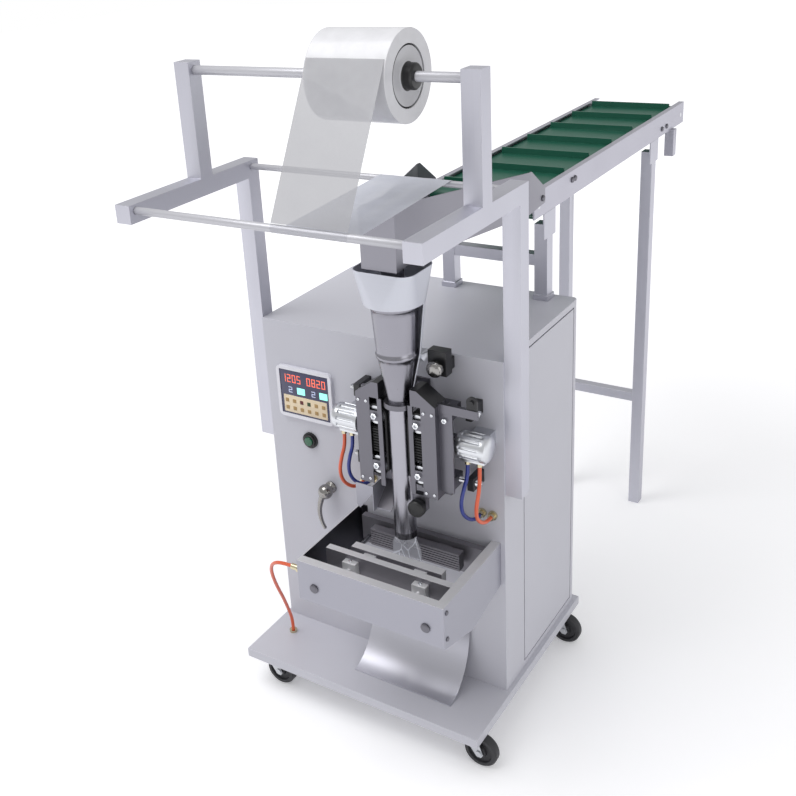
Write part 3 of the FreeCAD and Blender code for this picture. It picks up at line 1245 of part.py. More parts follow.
def make_conveyor_stand(name, y, floor, brace_z, foot):
    """Two legs, a brace between them and an ear up to each rail."""
    side = S.stand_tube
    outer = S.rail_half
    top = RAIL_LOW - S.stand_drop
    pieces = []
    for sign in (-1, 1):
        pieces.append(mirrored_block("leg", sign, (outer - side, y - side / 2, floor + foot),
                                     (outer, y + side / 2, top)))
        pieces.append(mirrored_block("ear", sign, (outer - S.rail_sheet, y - side, top - side),
                                     (outer, y + side, RAIL_LOW)))
        if float(size(foot)) > 0:
            lip = 3
            pieces.append(mirrored_block("foot", sign, (outer - side - lip, y - side / 2 - lip, floor),
                                         (outer + lip, y + side / 2 + lip, floor + foot)))
    brace_half = side / 2 - 2
    pieces.append(block("brace", (-outer + side, y - brace_half, brace_z - brace_half),
                        (outer - side, y + brace_half, brace_z + brace_half)))
    stand = fuse(name + "_whole", pieces)
    put(stand, AXIS_X, FRONT, 0)
    subpart(stand, name, moved=False)


def extruded(name, corners, role, length, reverse=False, middle=False, lift=0):
    """A body with one padded outline."""
    body = new_body(name)
    drawing = new_sketch(body, name + "_outline", role, lift)
    draw_outline(drawing, corners)
    pad(body, drawing, length, middle=middle, reverse=reverse)
    return body


def make_trough():
    """Tapered trough between the conveyor's rails and the neck over the funnel."""
    wall = S.trough_wall
    rear_half = S.rail_half + wall
    front, half = -S.trough_front, S.trough_half
    bend_y = -S.feed_reach + 40
    rear_y = S.rail_front - 30
    end_y = S.rail_front + 50
    low, high = S.trough_low, S.trough_high

    def plan(inset, end):
        left = [(-rear_half + inset, end), (-rear_half + inset, rear_y), (-half + inset, bend_y),
                (-half + inset, front + inset)]
        return left + [(-x, y) for x, y in reversed(left)]
    floor_end = rear_y + 4
    floor_rise = low + S.trough_rise
    outer_plan = extruded("trough_plan", plan(0 * wall, end_y), "XY_Plane", 400, lift=900)
    side = extruded("trough_side", [(front, low), (floor_end, floor_rise), (end_y, RAIL_LOW + 26),
                                    (end_y + 4, S.rail_top), (S.rail_front - 18, S.rail_top + 52),
                                    (front, high)], "YZ_Plane", 600, middle=True)
    body = common("trough_body", outer_plan, side)
    inner_plan = extruded("trough_inner_plan", plan(wall, end_y + 20), "XY_Plane", 400, lift=900)
    under_low, over_high = low - 60, high + 60
    inner_side = extruded("trough_inner_side", [(front - 10, low + wall), (floor_end, floor_rise + wall),
                                                (floor_end, under_low), (end_y + 40, under_low),
                                                (end_y + 40, over_high), (front - 10, over_high)],
                          "YZ_Plane", 600, middle=True)
    hollow = common("trough_hollow", inner_plan, inner_side)
    tray = cut("trough_tray", body, [hollow])
    neck = rod("neck", S.neck_radius, low - S.neck_low + 6, (0, AXIS_Y, S.neck_low))
    bore = rod("neck_bore", S.neck_radius - wall, 120, (0, AXIS_Y, S.neck_low - 20))
    floor_slope = 0.058
    under_end = floor_rise + (end_y - floor_end) * floor_slope
    under = extruded("under_floor", [(front - 40, low), (end_y, under_end), (end_y, 900), (front - 40, 900)],
                     "YZ_Plane", 600, middle=True)
    neck_cut = common("neck_trim", neck, under)
    trough = cut("trough", fuse("trough_whole", [tray, neck_cut]), [bore])
    put(trough, AXIS_X, FRONT, 0)
    subpart(trough, "feed_trough", moved=False)


# Film web

def make_film_web():
    """Film from the roll under the front roller and over the rear one, and the tail below the tube."""
    gap, thick = float(S.curve_gap), float(S.web_thick)
    roll = FreeCAD.Vector(0, float(SPINDLE_Y), float(S.spindle_z))
    front = FreeCAD.Vector(0, -float(S.front_roller_y), float(S.front_roller_z))
    rear = FreeCAD.Vector(0, float(S.rear_roller_y), float(S.rear_roller_z))
    radii = [float(radius) + gap for radius in (S.roll_radius, S.front_roller_radius, S.rear_roller_radius)]
    middle = thick / 2
    radii = [radius + middle for radius in radii]

    def tangent(centre_a, radius_a, centre_b, radius_b, side_a, side_b):
        """Straight that touches two circles; side is +1 where the circle lies left of the travel."""
        run = centre_b - centre_a
        length = run.Length
        angle = math.atan2(run.z, run.y)
        tilt = math.asin((side_a * radius_a - side_b * radius_b) / length)
        heading = angle + tilt
        normal = FreeCAD.Vector(0, math.sin(heading), -math.cos(heading))
        return centre_a + normal * (side_a * radius_a), centre_b + normal * (side_b * radius_b)
    leave_roll, reach_front = tangent(roll, radii[0], front, radii[1], 1, 1)
    leave_front, reach_rear = tangent(front, radii[1], rear, radii[2], 1, -1)

    def arc_between(centre, radius, start, end):
        mid = (start + end) * 0.5 - centre
        mid.normalize()
        return centre + mid * radius
    wrap_front = arc_between(front, radii[1], reach_front, leave_front)

    def on_rear(degrees):
        angle = math.radians(degrees)
        return rear + FreeCAD.Vector(0, radii[2] * math.cos(angle), radii[2] * math.sin(angle))
    over = on_rear(50)
    end_point = on_rear(-5)
    drop = end_point + FreeCAD.Vector(0, -0.3, -9)
    start = leave_roll
    edges = [Part.LineSegment(start, reach_front).toShape(),
             Part.Arc(reach_front, wrap_front, leave_front).toShape(),
             Part.LineSegment(leave_front, reach_rear).toShape(),
             Part.Arc(reach_rear, over, end_point).toShape(),
             Part.LineSegment(end_point, drop).toShape()]
    path = Part.Wire(edges)
    strip = path.makeOffset2D(middle, fill=False, openResult=True)
    other = path.makeOffset2D(-middle, fill=False, openResult=True)
    ends = [Part.LineSegment(strip.OrderedVertexes[0].Point, other.OrderedVertexes[0].Point).toShape(),
            Part.LineSegment(strip.OrderedVertexes[-1].Point, other.OrderedVertexes[-1].Point).toShape()]
    outline = Part.Wire(Part.__sortEdges__(strip.Edges + other.Edges + ends))
    face = Part.Face(outline)
    width = float(S.web_width)
    start_x = float(S.roll_x) - width / 2
    web = face.extrude(FreeCAD.Vector(width, 0, 0))
    web.translate(FreeCAD.Vector(start_x, 0, 0))
    top_ring = Part.Wire(Part.Circle(FreeCAD.Vector(float(AXIS_X), float(AXIS_Y), float(S.tube_bottom) - gap),
                                     FreeCAD.Vector(0, 0, 1), float(S.tube_radius) - 1).toShape())
    low_ellipse = Part.Ellipse(FreeCAD.Vector(float(AXIS_X), float(AXIS_Y), float(S.jaw_high) + 3), 34, 8)
    tail = Part.makeLoft([top_ring, Part.Wire(low_ellipse.toShape())], True)
    thing = doc.addObject("Part::Feature", "web")
    thing.Shape = Part.Compound([web, tail])
    subpart(thing, "film_web")


# Air: hoses, fittings, inner parts, bolts

PORT_Z = S.air_z - S.air_radius - 5
CENTRE_X = AXIS_X.number
HOSES = {
    "left_blue_hose": [(-142, -56, 681), (-142, -56, 656), (-146, -66, 632), (-148, -71, 606),
                       (-145, -66, 581), (-138, -51, 562), (-131, -32, 552), (-131, -12, 552)],
    "left_orange_hose": [(-162, -56, 681), (-162, -56, 654), (-167, -66, 626), (-170, -72, 597),
                         (-168, -67, 569), (-161, -51, 549), (-154, -32, 540), (-154, -12, 540)],
    "right_blue_hose": [(128, -56, 681), (128, -56, 654), (123, -66, 626), (119, -72, 597), (119, -67, 569),
                        (124, -51, 549), (130, -32, 539), (130, -14, 539)],
    "right_orange_hose": [(154, -56, 681), (154, -56, 654), (156, -66, 626), (153, -72, 597), (150, -67, 569),
                          (150, -51, 549), (154, -32, 539), (154, -14, 539)],
}
JAW_HOSE = [(-84, -236, 446), (-111, -236, 446), (-142, -228, 430), (-163, -212, 398), (-178, -188, 352),
            (-193, -158, 302), (-209, -126, 254), (-224, -98, 210), (-236, -74, 168), (-241, -60, 134),
            (-241, -60, 106)]


def hose_shape(points, radius):
    """Tube along straight runs joined by tangent arcs; prints its length and its bends."""
    spots = [FreeCAD.Vector(*point) for point in points]
    edges = []
    last = spots[0]
    bends = []
    for before, here, after in zip(spots, spots[1:], spots[2:]):
        back = (before - here).normalize()
        ahead = (after - here).normalize()
        turn = math.pi - back.getAngle(ahead)
        shorter = min((before - here).Length, (after - here).Length)
        reach = 0.45 * shorter
        bend = reach / math.tan(turn / 2)
        bends.append(bend)
        start = here + back * reach
        end = here + ahead * reach
        toward = (back + ahead).normalize()
        centre = here + toward * math.hypot(bend, reach)
        middle = centre - toward * bend
        edges.append(Part.LineSegment(last, start).toShape())
        edges.append(Part.Arc(start, middle, end).toShape())
        last = end
    edges.append(Part.LineSegment(last, spots[-1]).toShape())
    path = Part.Wire(edges)
    direction = (spots[1] - spots[0]).normalize()
    ring = Part.Wire(Part.Circle(spots[0], direction, radius).toShape())
    tube = path.makePipeShell([ring], True, True)
    expected = math.pi * radius ** 2 * path.Length
    print("hose length %.0f mm, tightest bend %.0f mm, volume ratio %.4f"
          % (path.Length, min(bends), tube.Volume / expected))
    return tube


def make_hoses():
    """Four hoses of the air cylinders and the jaw hose."""
    radius = float(S.hose_radius)
    for name, points in HOSES.items():
        placed = [(x + CENTRE_X, y, z) for x, y, z in points]
        thing = doc.addObject("Part::Feature", name + "_tube")
        thing.Shape = hose_shape(placed, radius)
        subpart(thing, name)
    thing = doc.addObject("Part::Feature", "jaw_hose_tube")
    thing.Shape = hose_shape(JAW_HOSE, radius)
    subpart(thing, "jaw_hose")


def make_fittings():
    """Ports under the air cylinders, bulkheads on the cabinet, the jaw box fitting and the grommet."""
    pieces = []
    for name, points in HOSES.items():
        x, y, z = points[0]
        pieces.append(rod("port", 6, PORT_Z - z, (x + CENTRE_X, y, z)))
        x, y, z = points[-1]
        nut = rod("bulkhead_nut", 10, 5, (x + CENTRE_X, -5, z), "Y")
        sleeve = rod("bulkhead", 7, -y - 5, (x + CENTRE_X, y, z), "Y")
        pieces.append(fuse("bulkhead_fitting", [nut, sleeve]))
    x, y, z = JAW_HOSE[0]
    box_side = AXIS_X - S.box_width / 2
    pieces.append(fuse("box_fitting", [rod("box_nut", 9, 8, (box_side - 8, y, z), "X"),
                                       rod("box_sleeve", 6.5, box_side - 8 - x, (x, y, z), "X")]))
    x, y, z = JAW_HOSE[-1]
    pieces.append(rod("grommet", 9, z - S.platform_top, (x, y, S.platform_top)))
    subpart(group("fittings", pieces), "air_fittings")


def make_inside():
    """Gearmotor behind the pull units, with a boss for each drive coupling."""
    wall, axis_z = S.cabinet_wall, S.pull_low
    gearbox = block("gearbox", (-S.gearbox_half, wall, axis_z - S.gearbox_rise),
                    (S.gearbox_half, S.gearbox_back, axis_z + S.gearbox_rise))
    bosses = [rod("boss", S.boss_radius, S.boss_reach + wall + 4,
                  (sign * PULLEY_X, -S.boss_reach, axis_z), "Y") for sign in (-1, 1)]
    motor_start = S.gearbox_back + S.motor_neck
    neck = rod("motor_neck", S.motor_neck_radius, S.motor_neck, (0, S.gearbox_back, axis_z), "Y")
    motor = rod("motor_body", S.motor_radius, S.motor_length, (0, motor_start, axis_z), "Y")
    side, box_start = S.terminal_side, motor_start + S.terminal_start
    motor_high = axis_z + S.motor_radius
    box = block("terminal_box", (-side / 2, box_start, motor_high - S.terminal_sink),
                (side / 2, box_start + side, motor_high + S.terminal_rise))
    whole = fuse("gearmotor", [gearbox, neck, motor, box] + bosses)
    put(whole, AXIS_X, FRONT, 0)
    subpart(whole, "pull_gearmotor", moved=False)


def round_head(name, x, y, z, axis, radius, height):
    """Domed bolt head that stands out along an axis."""
    profile = [(0, 0), (radius, 0), (radius, height * 0.5), (radius * 0.8, height * 0.85),
               (radius * 0.4, height), (0, height)]
    head = turned(name, profile)
    turns = {"-Y": FreeCAD.Rotation(FreeCAD.Vector(1, 0, 0), 90), "+X": TURNS["X"],
             "-X": FreeCAD.Rotation(FreeCAD.Vector(0, 1, 0), -90)}
    return put(head, x, y, z, turns[axis])


def make_bolts():
    """Bolt heads on the jaw box and on the conveyor's rails."""
    heads = []
    for sign in (-1, 1):
        heads.append(round_head("rod_bolt", sign * S.jaw_rod_x, -S.box_reach, S.jaw_rod_z, "-Y", 10, 5))
    box_side = S.box_width / 2
    for z in (S.box_top - 16, S.box_front_low + 18):
        heads.append(round_head("side_bolt", box_side, -S.box_reach + 12, z, "+X", 5, 3))
    for sign, axis in ((-1, "-X"), (1, "+X")):
        front_y, rear_y = S.rail_front + S.front_bolt, S.rail_back - S.rear_bolt
        for y, drop in ((front_y + S.bolt_step, S.front_bolt_drop), (front_y, S.front_bolt_drop),
                        (rear_y - S.rear_bolt_step, S.rear_bolt_drop), (rear_y, S.rear_bolt_drop)):
            heads.append(round_head("rail_bolt", sign * S.rail_half, y, S.rail_top - drop, axis, 6.5, 4))
        wall_face = sign * (S.rail_half + S.trough_wall)
        heads.append(round_head("trough_bolt", wall_face, S.rail_front + S.trough_bolt,
                                RAIL_LOW + S.trough_bolt, axis, 6.5, 4))
    bolts = group("bolts", heads)
    put(bolts, AXIS_X, FRONT, 0)
    subpart(bolts, "round_bolts", moved=False)


# Assembly

make_platform()
make_cabinet()
make_door()
for castor_name, castor_x, castor_y in CASTORS:
    make_castor(castor_name, castor_x, castor_y)
make_control_panel()
make_button()
make_lever()
subpart(make_chute(), "discharge_chute", moved=False)
make_jaw_box()
make_jaws()
make_guide_rods()
make_forming_set()
make_brackets()
for unit_name, unit_sign in (("left", -1), ("right", 1)):
    make_pull_unit(unit_name, unit_sign)
    make_stand(unit_name, unit_sign)
make_tension_knob()
make_rollers()
make_reel()
make_conveyor_frame()
make_conveyor_belt()
make_conveyor_stand("conveyor_front_stand", S.stand_front, CABINET_TOP, CABINET_TOP + S.front_brace_rise,
                    S.foot_height)
make_conveyor_stand("conveyor_rear_stand", S.stand_back, size(0), S.rear_brace_z, size(0))
make_trough()
make_film_web()
make_hoses()
make_fittings()
make_inside()
make_bolts()
doc.recompute()

# Checks and export

failed = [thing.Name for thing in doc.Objects if {"Invalid", "Error"} & set(thing.State)]
if failed:
    raise RuntimeError("failed objects: " + ", ".join(failed))
for thing in SUBPARTS:
    if thing.Shape.isNull() or not thing.Shape.isValid() or not thing.Shape.Solids:
        raise RuntimeError("bad shape: " + thing.Label)
os.makedirs("parts", exist_ok=True)
for thing in SUBPARTS:
    thing.Shape.exportStep("parts/%s.step" % thing.Label)
print(len(SUBPARTS), "sub-parts")
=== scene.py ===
# %% [markdown]
# The imported model of the machine comes first. Its parts are the frame that everything else is fitted to, and
# their places are read from it, so nothing has to be measured twice. The cabinet's box is kept as well, and its
# front face is where y starts.

# %% Load the frame
import json
import math
import bmesh
import bpy
from mathutils import Matrix, Vector


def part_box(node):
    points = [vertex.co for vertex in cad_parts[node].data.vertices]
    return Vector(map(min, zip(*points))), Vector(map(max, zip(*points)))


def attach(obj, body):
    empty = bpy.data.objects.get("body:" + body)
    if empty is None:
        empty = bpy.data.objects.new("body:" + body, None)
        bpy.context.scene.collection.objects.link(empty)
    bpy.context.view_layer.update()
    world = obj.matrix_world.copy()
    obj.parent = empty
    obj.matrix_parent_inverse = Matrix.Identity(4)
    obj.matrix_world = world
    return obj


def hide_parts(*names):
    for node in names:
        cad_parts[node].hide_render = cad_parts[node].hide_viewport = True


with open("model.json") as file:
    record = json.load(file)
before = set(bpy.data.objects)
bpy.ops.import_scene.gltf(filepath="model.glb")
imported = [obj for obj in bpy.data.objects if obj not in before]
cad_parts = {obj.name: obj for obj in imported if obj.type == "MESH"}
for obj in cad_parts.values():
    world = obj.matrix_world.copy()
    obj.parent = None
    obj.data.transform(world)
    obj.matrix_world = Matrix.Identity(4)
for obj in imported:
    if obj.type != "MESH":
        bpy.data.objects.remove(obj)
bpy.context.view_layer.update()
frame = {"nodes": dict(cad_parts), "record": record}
slot_of = {part["node"]: part["material_slot"] for part in frame["record"]["subparts"]}
body_of_node = {node: body for body, nodes in frame["record"]["behaviour"]["bodies"].items() for node in nodes}
cabinet_low, cabinet_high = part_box("cabinet_shell")
print("parts in the frame:", len(slot_of))

# %% [markdown]
# The machine is drawn from the cabinet's own corner of space: x from the cabinet's middle, y from its front
# face and z from the floor, all in millimetres. One small function turns such a place into the frame's
# metres.

# %% Places
MM = 0.001
FRONT_Y = cabinet_low.y
FEED_X = 110
FEED_Y = -92


def spot(x, y, z):
    return Vector((x * MM, y * MM + FRONT_Y, z * MM))


print("cabinet front at y =", round(FRONT_Y, 3))

# %% [markdown]
# The camera stands to the right of the machine, a little above it, and looks down. Its place, its tilt and
# its lens were fitted to the straight edges in the photograph. The tilt is kept as three directions: right,
# up and back.

# %% Camera
CAMERA_SPOT = spot(1096.0, -1696.9, 1732.8)
CAMERA_RIGHT = Vector((0.82367, 0.56218, -0.07430))
CAMERA_UP = Vector((-0.14989, 0.34221, 0.92759))
CAMERA_BACK = CAMERA_RIGHT.cross(CAMERA_UP)
LENS_MM = 48.0
LENS_SHIFT = 0.1

camera_data = bpy.data.cameras.new("photo_camera")
camera_data.lens = LENS_MM
camera_data.shift_x = LENS_SHIFT
camera_data.shift_y = -LENS_SHIFT
camera = bpy.data.objects.new("photo_camera", camera_data)
bpy.context.scene.collection.objects.link(camera)
turn = Matrix((CAMERA_RIGHT, CAMERA_UP, CAMERA_BACK)).transposed().to_4x4()
camera.matrix_world = Matrix.Translation(CAMERA_SPOT) @ turn
bpy.context.scene.camera = camera
bpy.context.scene.view_settings.view_transform = "Standard"
print("camera", tuple(round(value, 3) for value in camera.location))

# %% [markdown]
# A material is a graph of nodes. Two small classes keep it readable: a Wire is one value in the graph, and
# Python's operators on it add Math nodes. A Graph adds every other node through one method, which sets the
# node's own settings first and then its sockets. Patterns read Object coordinates, which are metres on the
# machine.

# %% Material helpers


class Wire:
    """One value in a material's graph."""

    def __init__(self, graph, socket):
        self.graph = graph
        self.socket = socket

    def _math(self, operation, first, second):
        return self.graph.add("ShaderNodeMath", {"operation": operation}, {0: first, 1: second})

    def __add__(self, other):
        return self._math("ADD", self, other)

    def __radd__(self, other):
        return self._math("ADD", other, self)

    def __sub__(self, other):
        return self._math("SUBTRACT", self, other)

    def __rsub__(self, other):
        return self._math("SUBTRACT", other, self)

    def __mul__(self, other):
        return self._math("MULTIPLY", self, other)

    def __rmul__(self, other):
        return self._math("MULTIPLY", other, self)

    def between(self, low, high):
        """0 below low, 1 above high and a smooth way between."""
        return self.graph.add("ShaderNodeMapRange", {"interpolation_type": "SMOOTHSTEP"},
                              {"Value": self, "From Min": low, "From Max": high})


class Graph:
    """A material under construction."""

    def __init__(self, name):
        self.material = bpy.data.materials.new(name)
        self.material.use_nodes = True
        self.tree = self.material.node_tree
        self.tree.nodes.clear()
        self.place = self.add("ShaderNodeTexCoord", output="Object")

    def add(self, kind, settings=None, sockets=None, output=0):
        node = self.tree.nodes.new(kind)
        for name, value in (settings or {}).items():
            if name == "stops":
                self._stops(node.color_ramp, value)
            else:
                setattr(node, name, value)
        for name, value in (sockets or {}).items():
            if isinstance(value, Wire):
                self.tree.links.new(value.socket, node.inputs[name])
            else:
                node.inputs[name].default_value = value
        return Wire(self, node.outputs[output])

    def _stops(self, ramp, stops):
        while len(ramp.elements) < len(stops):
            ramp.elements.new(1.0)
        for element, (position, colour) in zip(ramp.elements, stops):
            element.position = position
            element.color = colour

    def grain(self, scale, stretch=(1, 1, 1), detail=3):
        """Noise whose grain may be drawn out along an axis."""
        place = self.add("ShaderNodeMapping", sockets={"Vector": self.place, "Scale": stretch},
                         output="Vector")
        return self.add("ShaderNodeTexNoise", sockets={"Vector": place, "Scale": scale, "Detail": detail},
                        output="Fac")

    def height(self):
        """Height above the floor, in metres."""
        return self.add("ShaderNodeSeparateXYZ", sockets={"Vector": self.place}, output="Z")

    def distance(self, place, across):
        """Distance from a place, in metres; an axis that across holds at 0 doesn't count."""
        shift = [-value * keep for value, keep in zip(place, across)]
        moved = self.add("ShaderNodeMapping",
                         sockets={"Vector": self.place, "Location": shift, "Scale": across}, output="Vector")
        return self.add("ShaderNodeVectorMath", {"operation": "LENGTH"}, {0: moved}, output="Value")

    def wear(self, reach=0.0025):
        """1 on rubbed edges and 0 elsewhere: a rounded normal differs from the face's own only near an edge."""
        rounded = self.add("ShaderNodeBevel", {"samples": 4}, {"Radius": reach})
        own = self.add("ShaderNodeNewGeometry", output="Normal")
        same = self.add("ShaderNodeVectorMath", {"operation": "DOT_PRODUCT"}, {0: rounded, 1: own},
                        output="Value")
        return (1.0 - same).between(0.04, 0.2) * self.grain(45).between(0.4, 0.6)

    def mix(self, amount, first, second):
        """A blend of two colours."""
        return self.add("ShaderNodeMix", {"data_type": "RGBA"}, {0: amount, 6: first, 7: second}, output=2)

    def bump(self, height, depth, strength=1.0):
        return self.add("ShaderNodeBump", sockets={"Height": height, "Distance": depth, "Strength": strength})

    def finish(self, sockets):
        """Closes the graph with its shader."""
        shader = self.add("ShaderNodeBsdfPrincipled", sockets=sockets)
        self.add_output(shader)
        return self.material

    def add_output(self, shader):
        node = self.tree.nodes.new("ShaderNodeOutputMaterial")
        self.tree.links.new(shader.socket, node.inputs["Surface"])


def tone(red, green, blue):
    """A colour as one reads it off a screen, 0 to 255, as the renderer's linear values."""
    def linear(value):
        value = value / 255
        return value / 12.92 if value <= 0.04045 else ((value + 0.055) / 1.055) ** 2.4
    return (linear(red), linear(green), linear(blue), 1.0)


def shade(colour, factor):
    return tuple(min(1.0, channel * factor) for channel in colour[:3]) + (1.0,)


print("material helpers ready")

# %% [markdown]
# Powder coat is a baked plastic skin: satin, with a fine orange peel that breaks up reflections, and faint
# clouding where the powder lay thicker. Stainless tube has long brush lines, so its grain is stretched
# along the tube. Polished sheet keeps only faint marks. Each finish is a short recipe on the same helpers.

# %% Finishes
SKIN = 0.00004
BRUSH = 0.00003


def powder_coat(name, colour, roughness=0.42):
    graph = Graph(name)
    clouds = graph.grain(6)
    peel = graph.grain(700, detail=2)
    rubbed = graph.wear()
    coat = graph.mix(clouds, shade(colour, 0.95), shade(colour, 1.04))
    return graph.finish({
        "Base Color": graph.mix(rubbed * 0.6, coat, shade(colour, 1.25)),
        "Roughness": roughness + 0.08 * (clouds - 0.5) - 0.1 * rubbed,
        "Normal": graph.bump(peel, SKIN),
    })


def brushed(name, colour, stretch, roughness=0.3, contrast=0.1, metallic=1.0):
    graph = Graph(name)
    lines = graph.grain(500, stretch)
    blotches = graph.grain(9)
    return graph.finish({
        "Base Color": graph.mix(lines, shade(colour, 1 - contrast), shade(colour, 1 + contrast)),
        "Metallic": metallic,
        "Roughness": roughness + 0.14 * (lines - 0.5) + 0.1 * (blotches - 0.5),
        "Normal": graph.bump(lines, BRUSH),
    })


def polished(name, colour, roughness=0.16):
    graph = Graph(name)
    marks = graph.grain(260, (1, 1, 0.15), detail=4)
    blotches = graph.grain(14)
    return graph.finish({
        "Base Color": graph.mix(blotches, shade(colour, 0.94), shade(colour, 1.03)),
        "Metallic": 1.0,
        "Roughness": roughness + 0.07 * (blotches - 0.5) + 0.05 * (marks - 0.5),
        "Normal": graph.bump(marks, SKIN, 0.5),
    })


def moulded(name, colour, roughness=0.45, coat=0.0):
    graph = Graph(name)
    pores = graph.grain(900, detail=2)
    clouds = graph.grain(40)
    skin = graph.mix(clouds, shade(colour, 0.9), shade(colour, 1.1))
    return graph.finish({
        "Base Color": graph.mix(graph.wear() * 0.5, skin, shade(colour, 1.6)),
        "Roughness": roughness + 0.1 * (pores - 0.5),
        "Coat Weight": coat,
        "Normal": graph.bump(pores, SKIN),
    })


def banded(name, colour, low, high, band_factors, shift, roughness=0.24):
    """Polished steel whose colour is scaled down on one side of a height; the two factors give its colour below
    and above the band.
    """
    graph = Graph(name)
    marks = graph.grain(260, (1, 1, 0.1), detail=4)
    blotches = graph.grain(14)
    band = graph.height().between(low, high)
    below = graph.mix(blotches, shade(colour, band_factors[0] - shift), shade(colour, band_factors[0] + shift))
    above = graph.mix(blotches, shade(colour, band_factors[1] - shift), shade(colour, band_factors[1] + shift))
    return graph.finish({
        "Base Color": graph.mix(band, below, above),
        "Metallic": 1.0,
        "Roughness": roughness + 0.07 * (blotches - 0.5) + 0.05 * (marks - 0.5),
        "Normal": graph.bump(marks, SKIN, 0.5),
    })


def chuck_plastic(name, colour, pale, axis, hub, rim):
    """A black hub and rim with a pale disc between them."""
    graph = Graph(name)
    pores = graph.grain(900, detail=2)
    radius = graph.distance(axis, (0, 1, 1))
    disc = radius.between(hub, hub + 0.0008) - radius.between(rim, rim + 0.0008)
    return graph.finish({
        "Base Color": graph.mix(disc, colour, pale),
        "Roughness": 0.4 + 0.1 * (pores - 0.5),
        "Normal": graph.bump(pores, SKIN),
    })


STEEL_LIGHT = tone(222, 224, 228)
ALONG_X = (0.01, 1, 1)
ALONG_Y = (1, 0.01, 1)
ALONG_Z = (1, 1, 0.01)
finishes = {
    "cabinet_paint": powder_coat("satin_powder_coat", tone(200, 200, 209)),
    "polished_stainless": polished("polished_stainless", STEEL_LIGHT),
    "brushed_stainless": brushed("brushed_stainless", tone(200, 200, 209), ALONG_Z, 0.48, 0.05),
    "chrome": polished("bright_chrome", tone(226, 228, 232), 0.17),
    "bright_aluminium": brushed("machined_aluminium", tone(214, 216, 220), ALONG_X, 0.32),
    "black_anodised": moulded("black_anodised", tone(30, 30, 33), 0.35),
    "dark_cast_paint": powder_coat("cast_paint", tone(96, 102, 110), 0.5),
    "panel_bezel": moulded("bezel_plastic", tone(226, 226, 234), 0.3, 0.3),
    "black_plastic": moulded("black_moulding", tone(22, 22, 24), 0.4),
    "green_button": moulded("green_cap", tone(14, 92, 62), 0.22, 0.5),
    "brass_fittings": polished("nickelled_brass", tone(206, 196, 166), 0.2),
    "blue_hose": moulded("blue_hose", tone(38, 54, 140), 0.3, 0.2),
    "orange_hose": moulded("orange_hose", tone(224, 96, 58), 0.3, 0.2),
    "black_rubber": moulded("belt_rubber", tone(28, 28, 30), 0.6),
    "castor_tread": moulded("castor_tread", tone(44, 44, 48), 0.5),
    "zinc_plate": polished("zinc_plate", tone(196, 198, 202), 0.28),
    "green_belt": moulded("belt_green", tone(20, 84, 66), 0.42),
    "film": moulded("wound_film", tone(214, 214, 218), 0.3, 0.2),
}
reel_low, reel_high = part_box("film_roll")
REEL_AXIS = (reel_low + reel_high) / 2
own_finishes = {
    "formed": polished("formed_stainless", tone(150, 149, 157), 0.26),
    # The tube's colour falls to 0.3 of itself below 0.512 m, at its lowest end.
    "tube": banded("filling_tube_stainless", tone(164, 163, 171), 0.512, 0.516, (0.3, 1.0), 0.06),
    "wing": brushed("shoulder_sheet", tone(208, 210, 219), ALONG_X, 0.45, 0.03, 0.5),
    "box": brushed("jaw_box_sheet", tone(170, 170, 180), ALONG_X, 0.46, 0.03, 0.7),
    "plate": brushed("pull_unit_plate", tone(118, 117, 124), ALONG_Z, 0.4, 0.05),
    "bar": brushed("jaw_bar_steel", tone(216, 216, 219), ALONG_X, 0.42, 0.04, 0.5),
    # Painted shade: a dark sheet for the faces inside the jaw box.
    "dark": brushed("painted_deep_shade_sheet", tone(58, 58, 64), ALONG_Y, 0.4, 0.08),
    # Painted shade: a darker sheet for faces in shade, namely the guide slope, the trough's inside, the cross
    # bar's front and the whole rear jaw.
    "painted_half_shade": brushed("painted_half_shade_sheet", tone(116, 114, 121), ALONG_Y, 0.4, 0.05, 0.5),
    "rail": brushed("rail_sheet", tone(190, 189, 199), ALONG_Y, 0.44, 0.04),
    "trough": brushed("trough_sheet", tone(150, 149, 157), ALONG_Y, 0.42, 0.05),
    # Painted shade: the chute's colour falls to 0.35 of itself above 0.25 m, where it lies under the jaw box.
    "chute": banded("chute_sheet", tone(196, 196, 205), 0.17, 0.25, (1.0, 0.35), 0.04, 0.42),
    "roller": brushed("roller_tube", tone(196, 196, 202), ALONG_X, 0.36, 0.03, metallic=0.35),
    "cast": polished("cast_chrome", tone(150, 148, 146), 0.16),
    "chuck": chuck_plastic("chuck_plastic", tone(24, 24, 26), tone(196, 196, 200), REEL_AXIS, 0.0245, 0.0505),
}
for node, slot in slot_of.items():
    mesh = frame["nodes"][node].data
    mesh.materials.clear()
    mesh.materials.append(finishes[slot])
print("finishes:", len(finishes))

# %% [markdown]
# The floor is a plain pale sheet. Seen straight by the camera it is lifted to white, as in a product
# picture, and it still takes the machine's shadow. The light is soft: an even sky, a large lamp above on
# the left and a weak fill.

# %% Floor and light
FLOOR_SIZE = 14.0


def white_for_camera(name, colour, near_lift, far_lift):
    """A matt white whose own glow is seen only straight on, in mirrors and through glass."""
    graph = Graph(name)
    away = graph.distance((0, 0, 0), (1, 1, 0)).between(0.9, 3.6)
    lift = near_lift + (far_lift - near_lift) * away
    path = graph.tree.nodes.new("ShaderNodeLightPath")
    seen = Wire(graph, path.outputs["Is Camera Ray"]) + Wire(graph, path.outputs["Is Glossy Ray"])
    seen = seen + Wire(graph, path.outputs["Is Transmission Ray"])
    matt = graph.add("ShaderNodeBsdfDiffuse", sockets={"Color": colour})
    glow = graph.add("ShaderNodeEmission", sockets={"Color": colour, "Strength": seen * lift})
    graph.add_output(graph.add("ShaderNodeAddShader", sockets={0: matt, 1: glow}))
    return graph.material


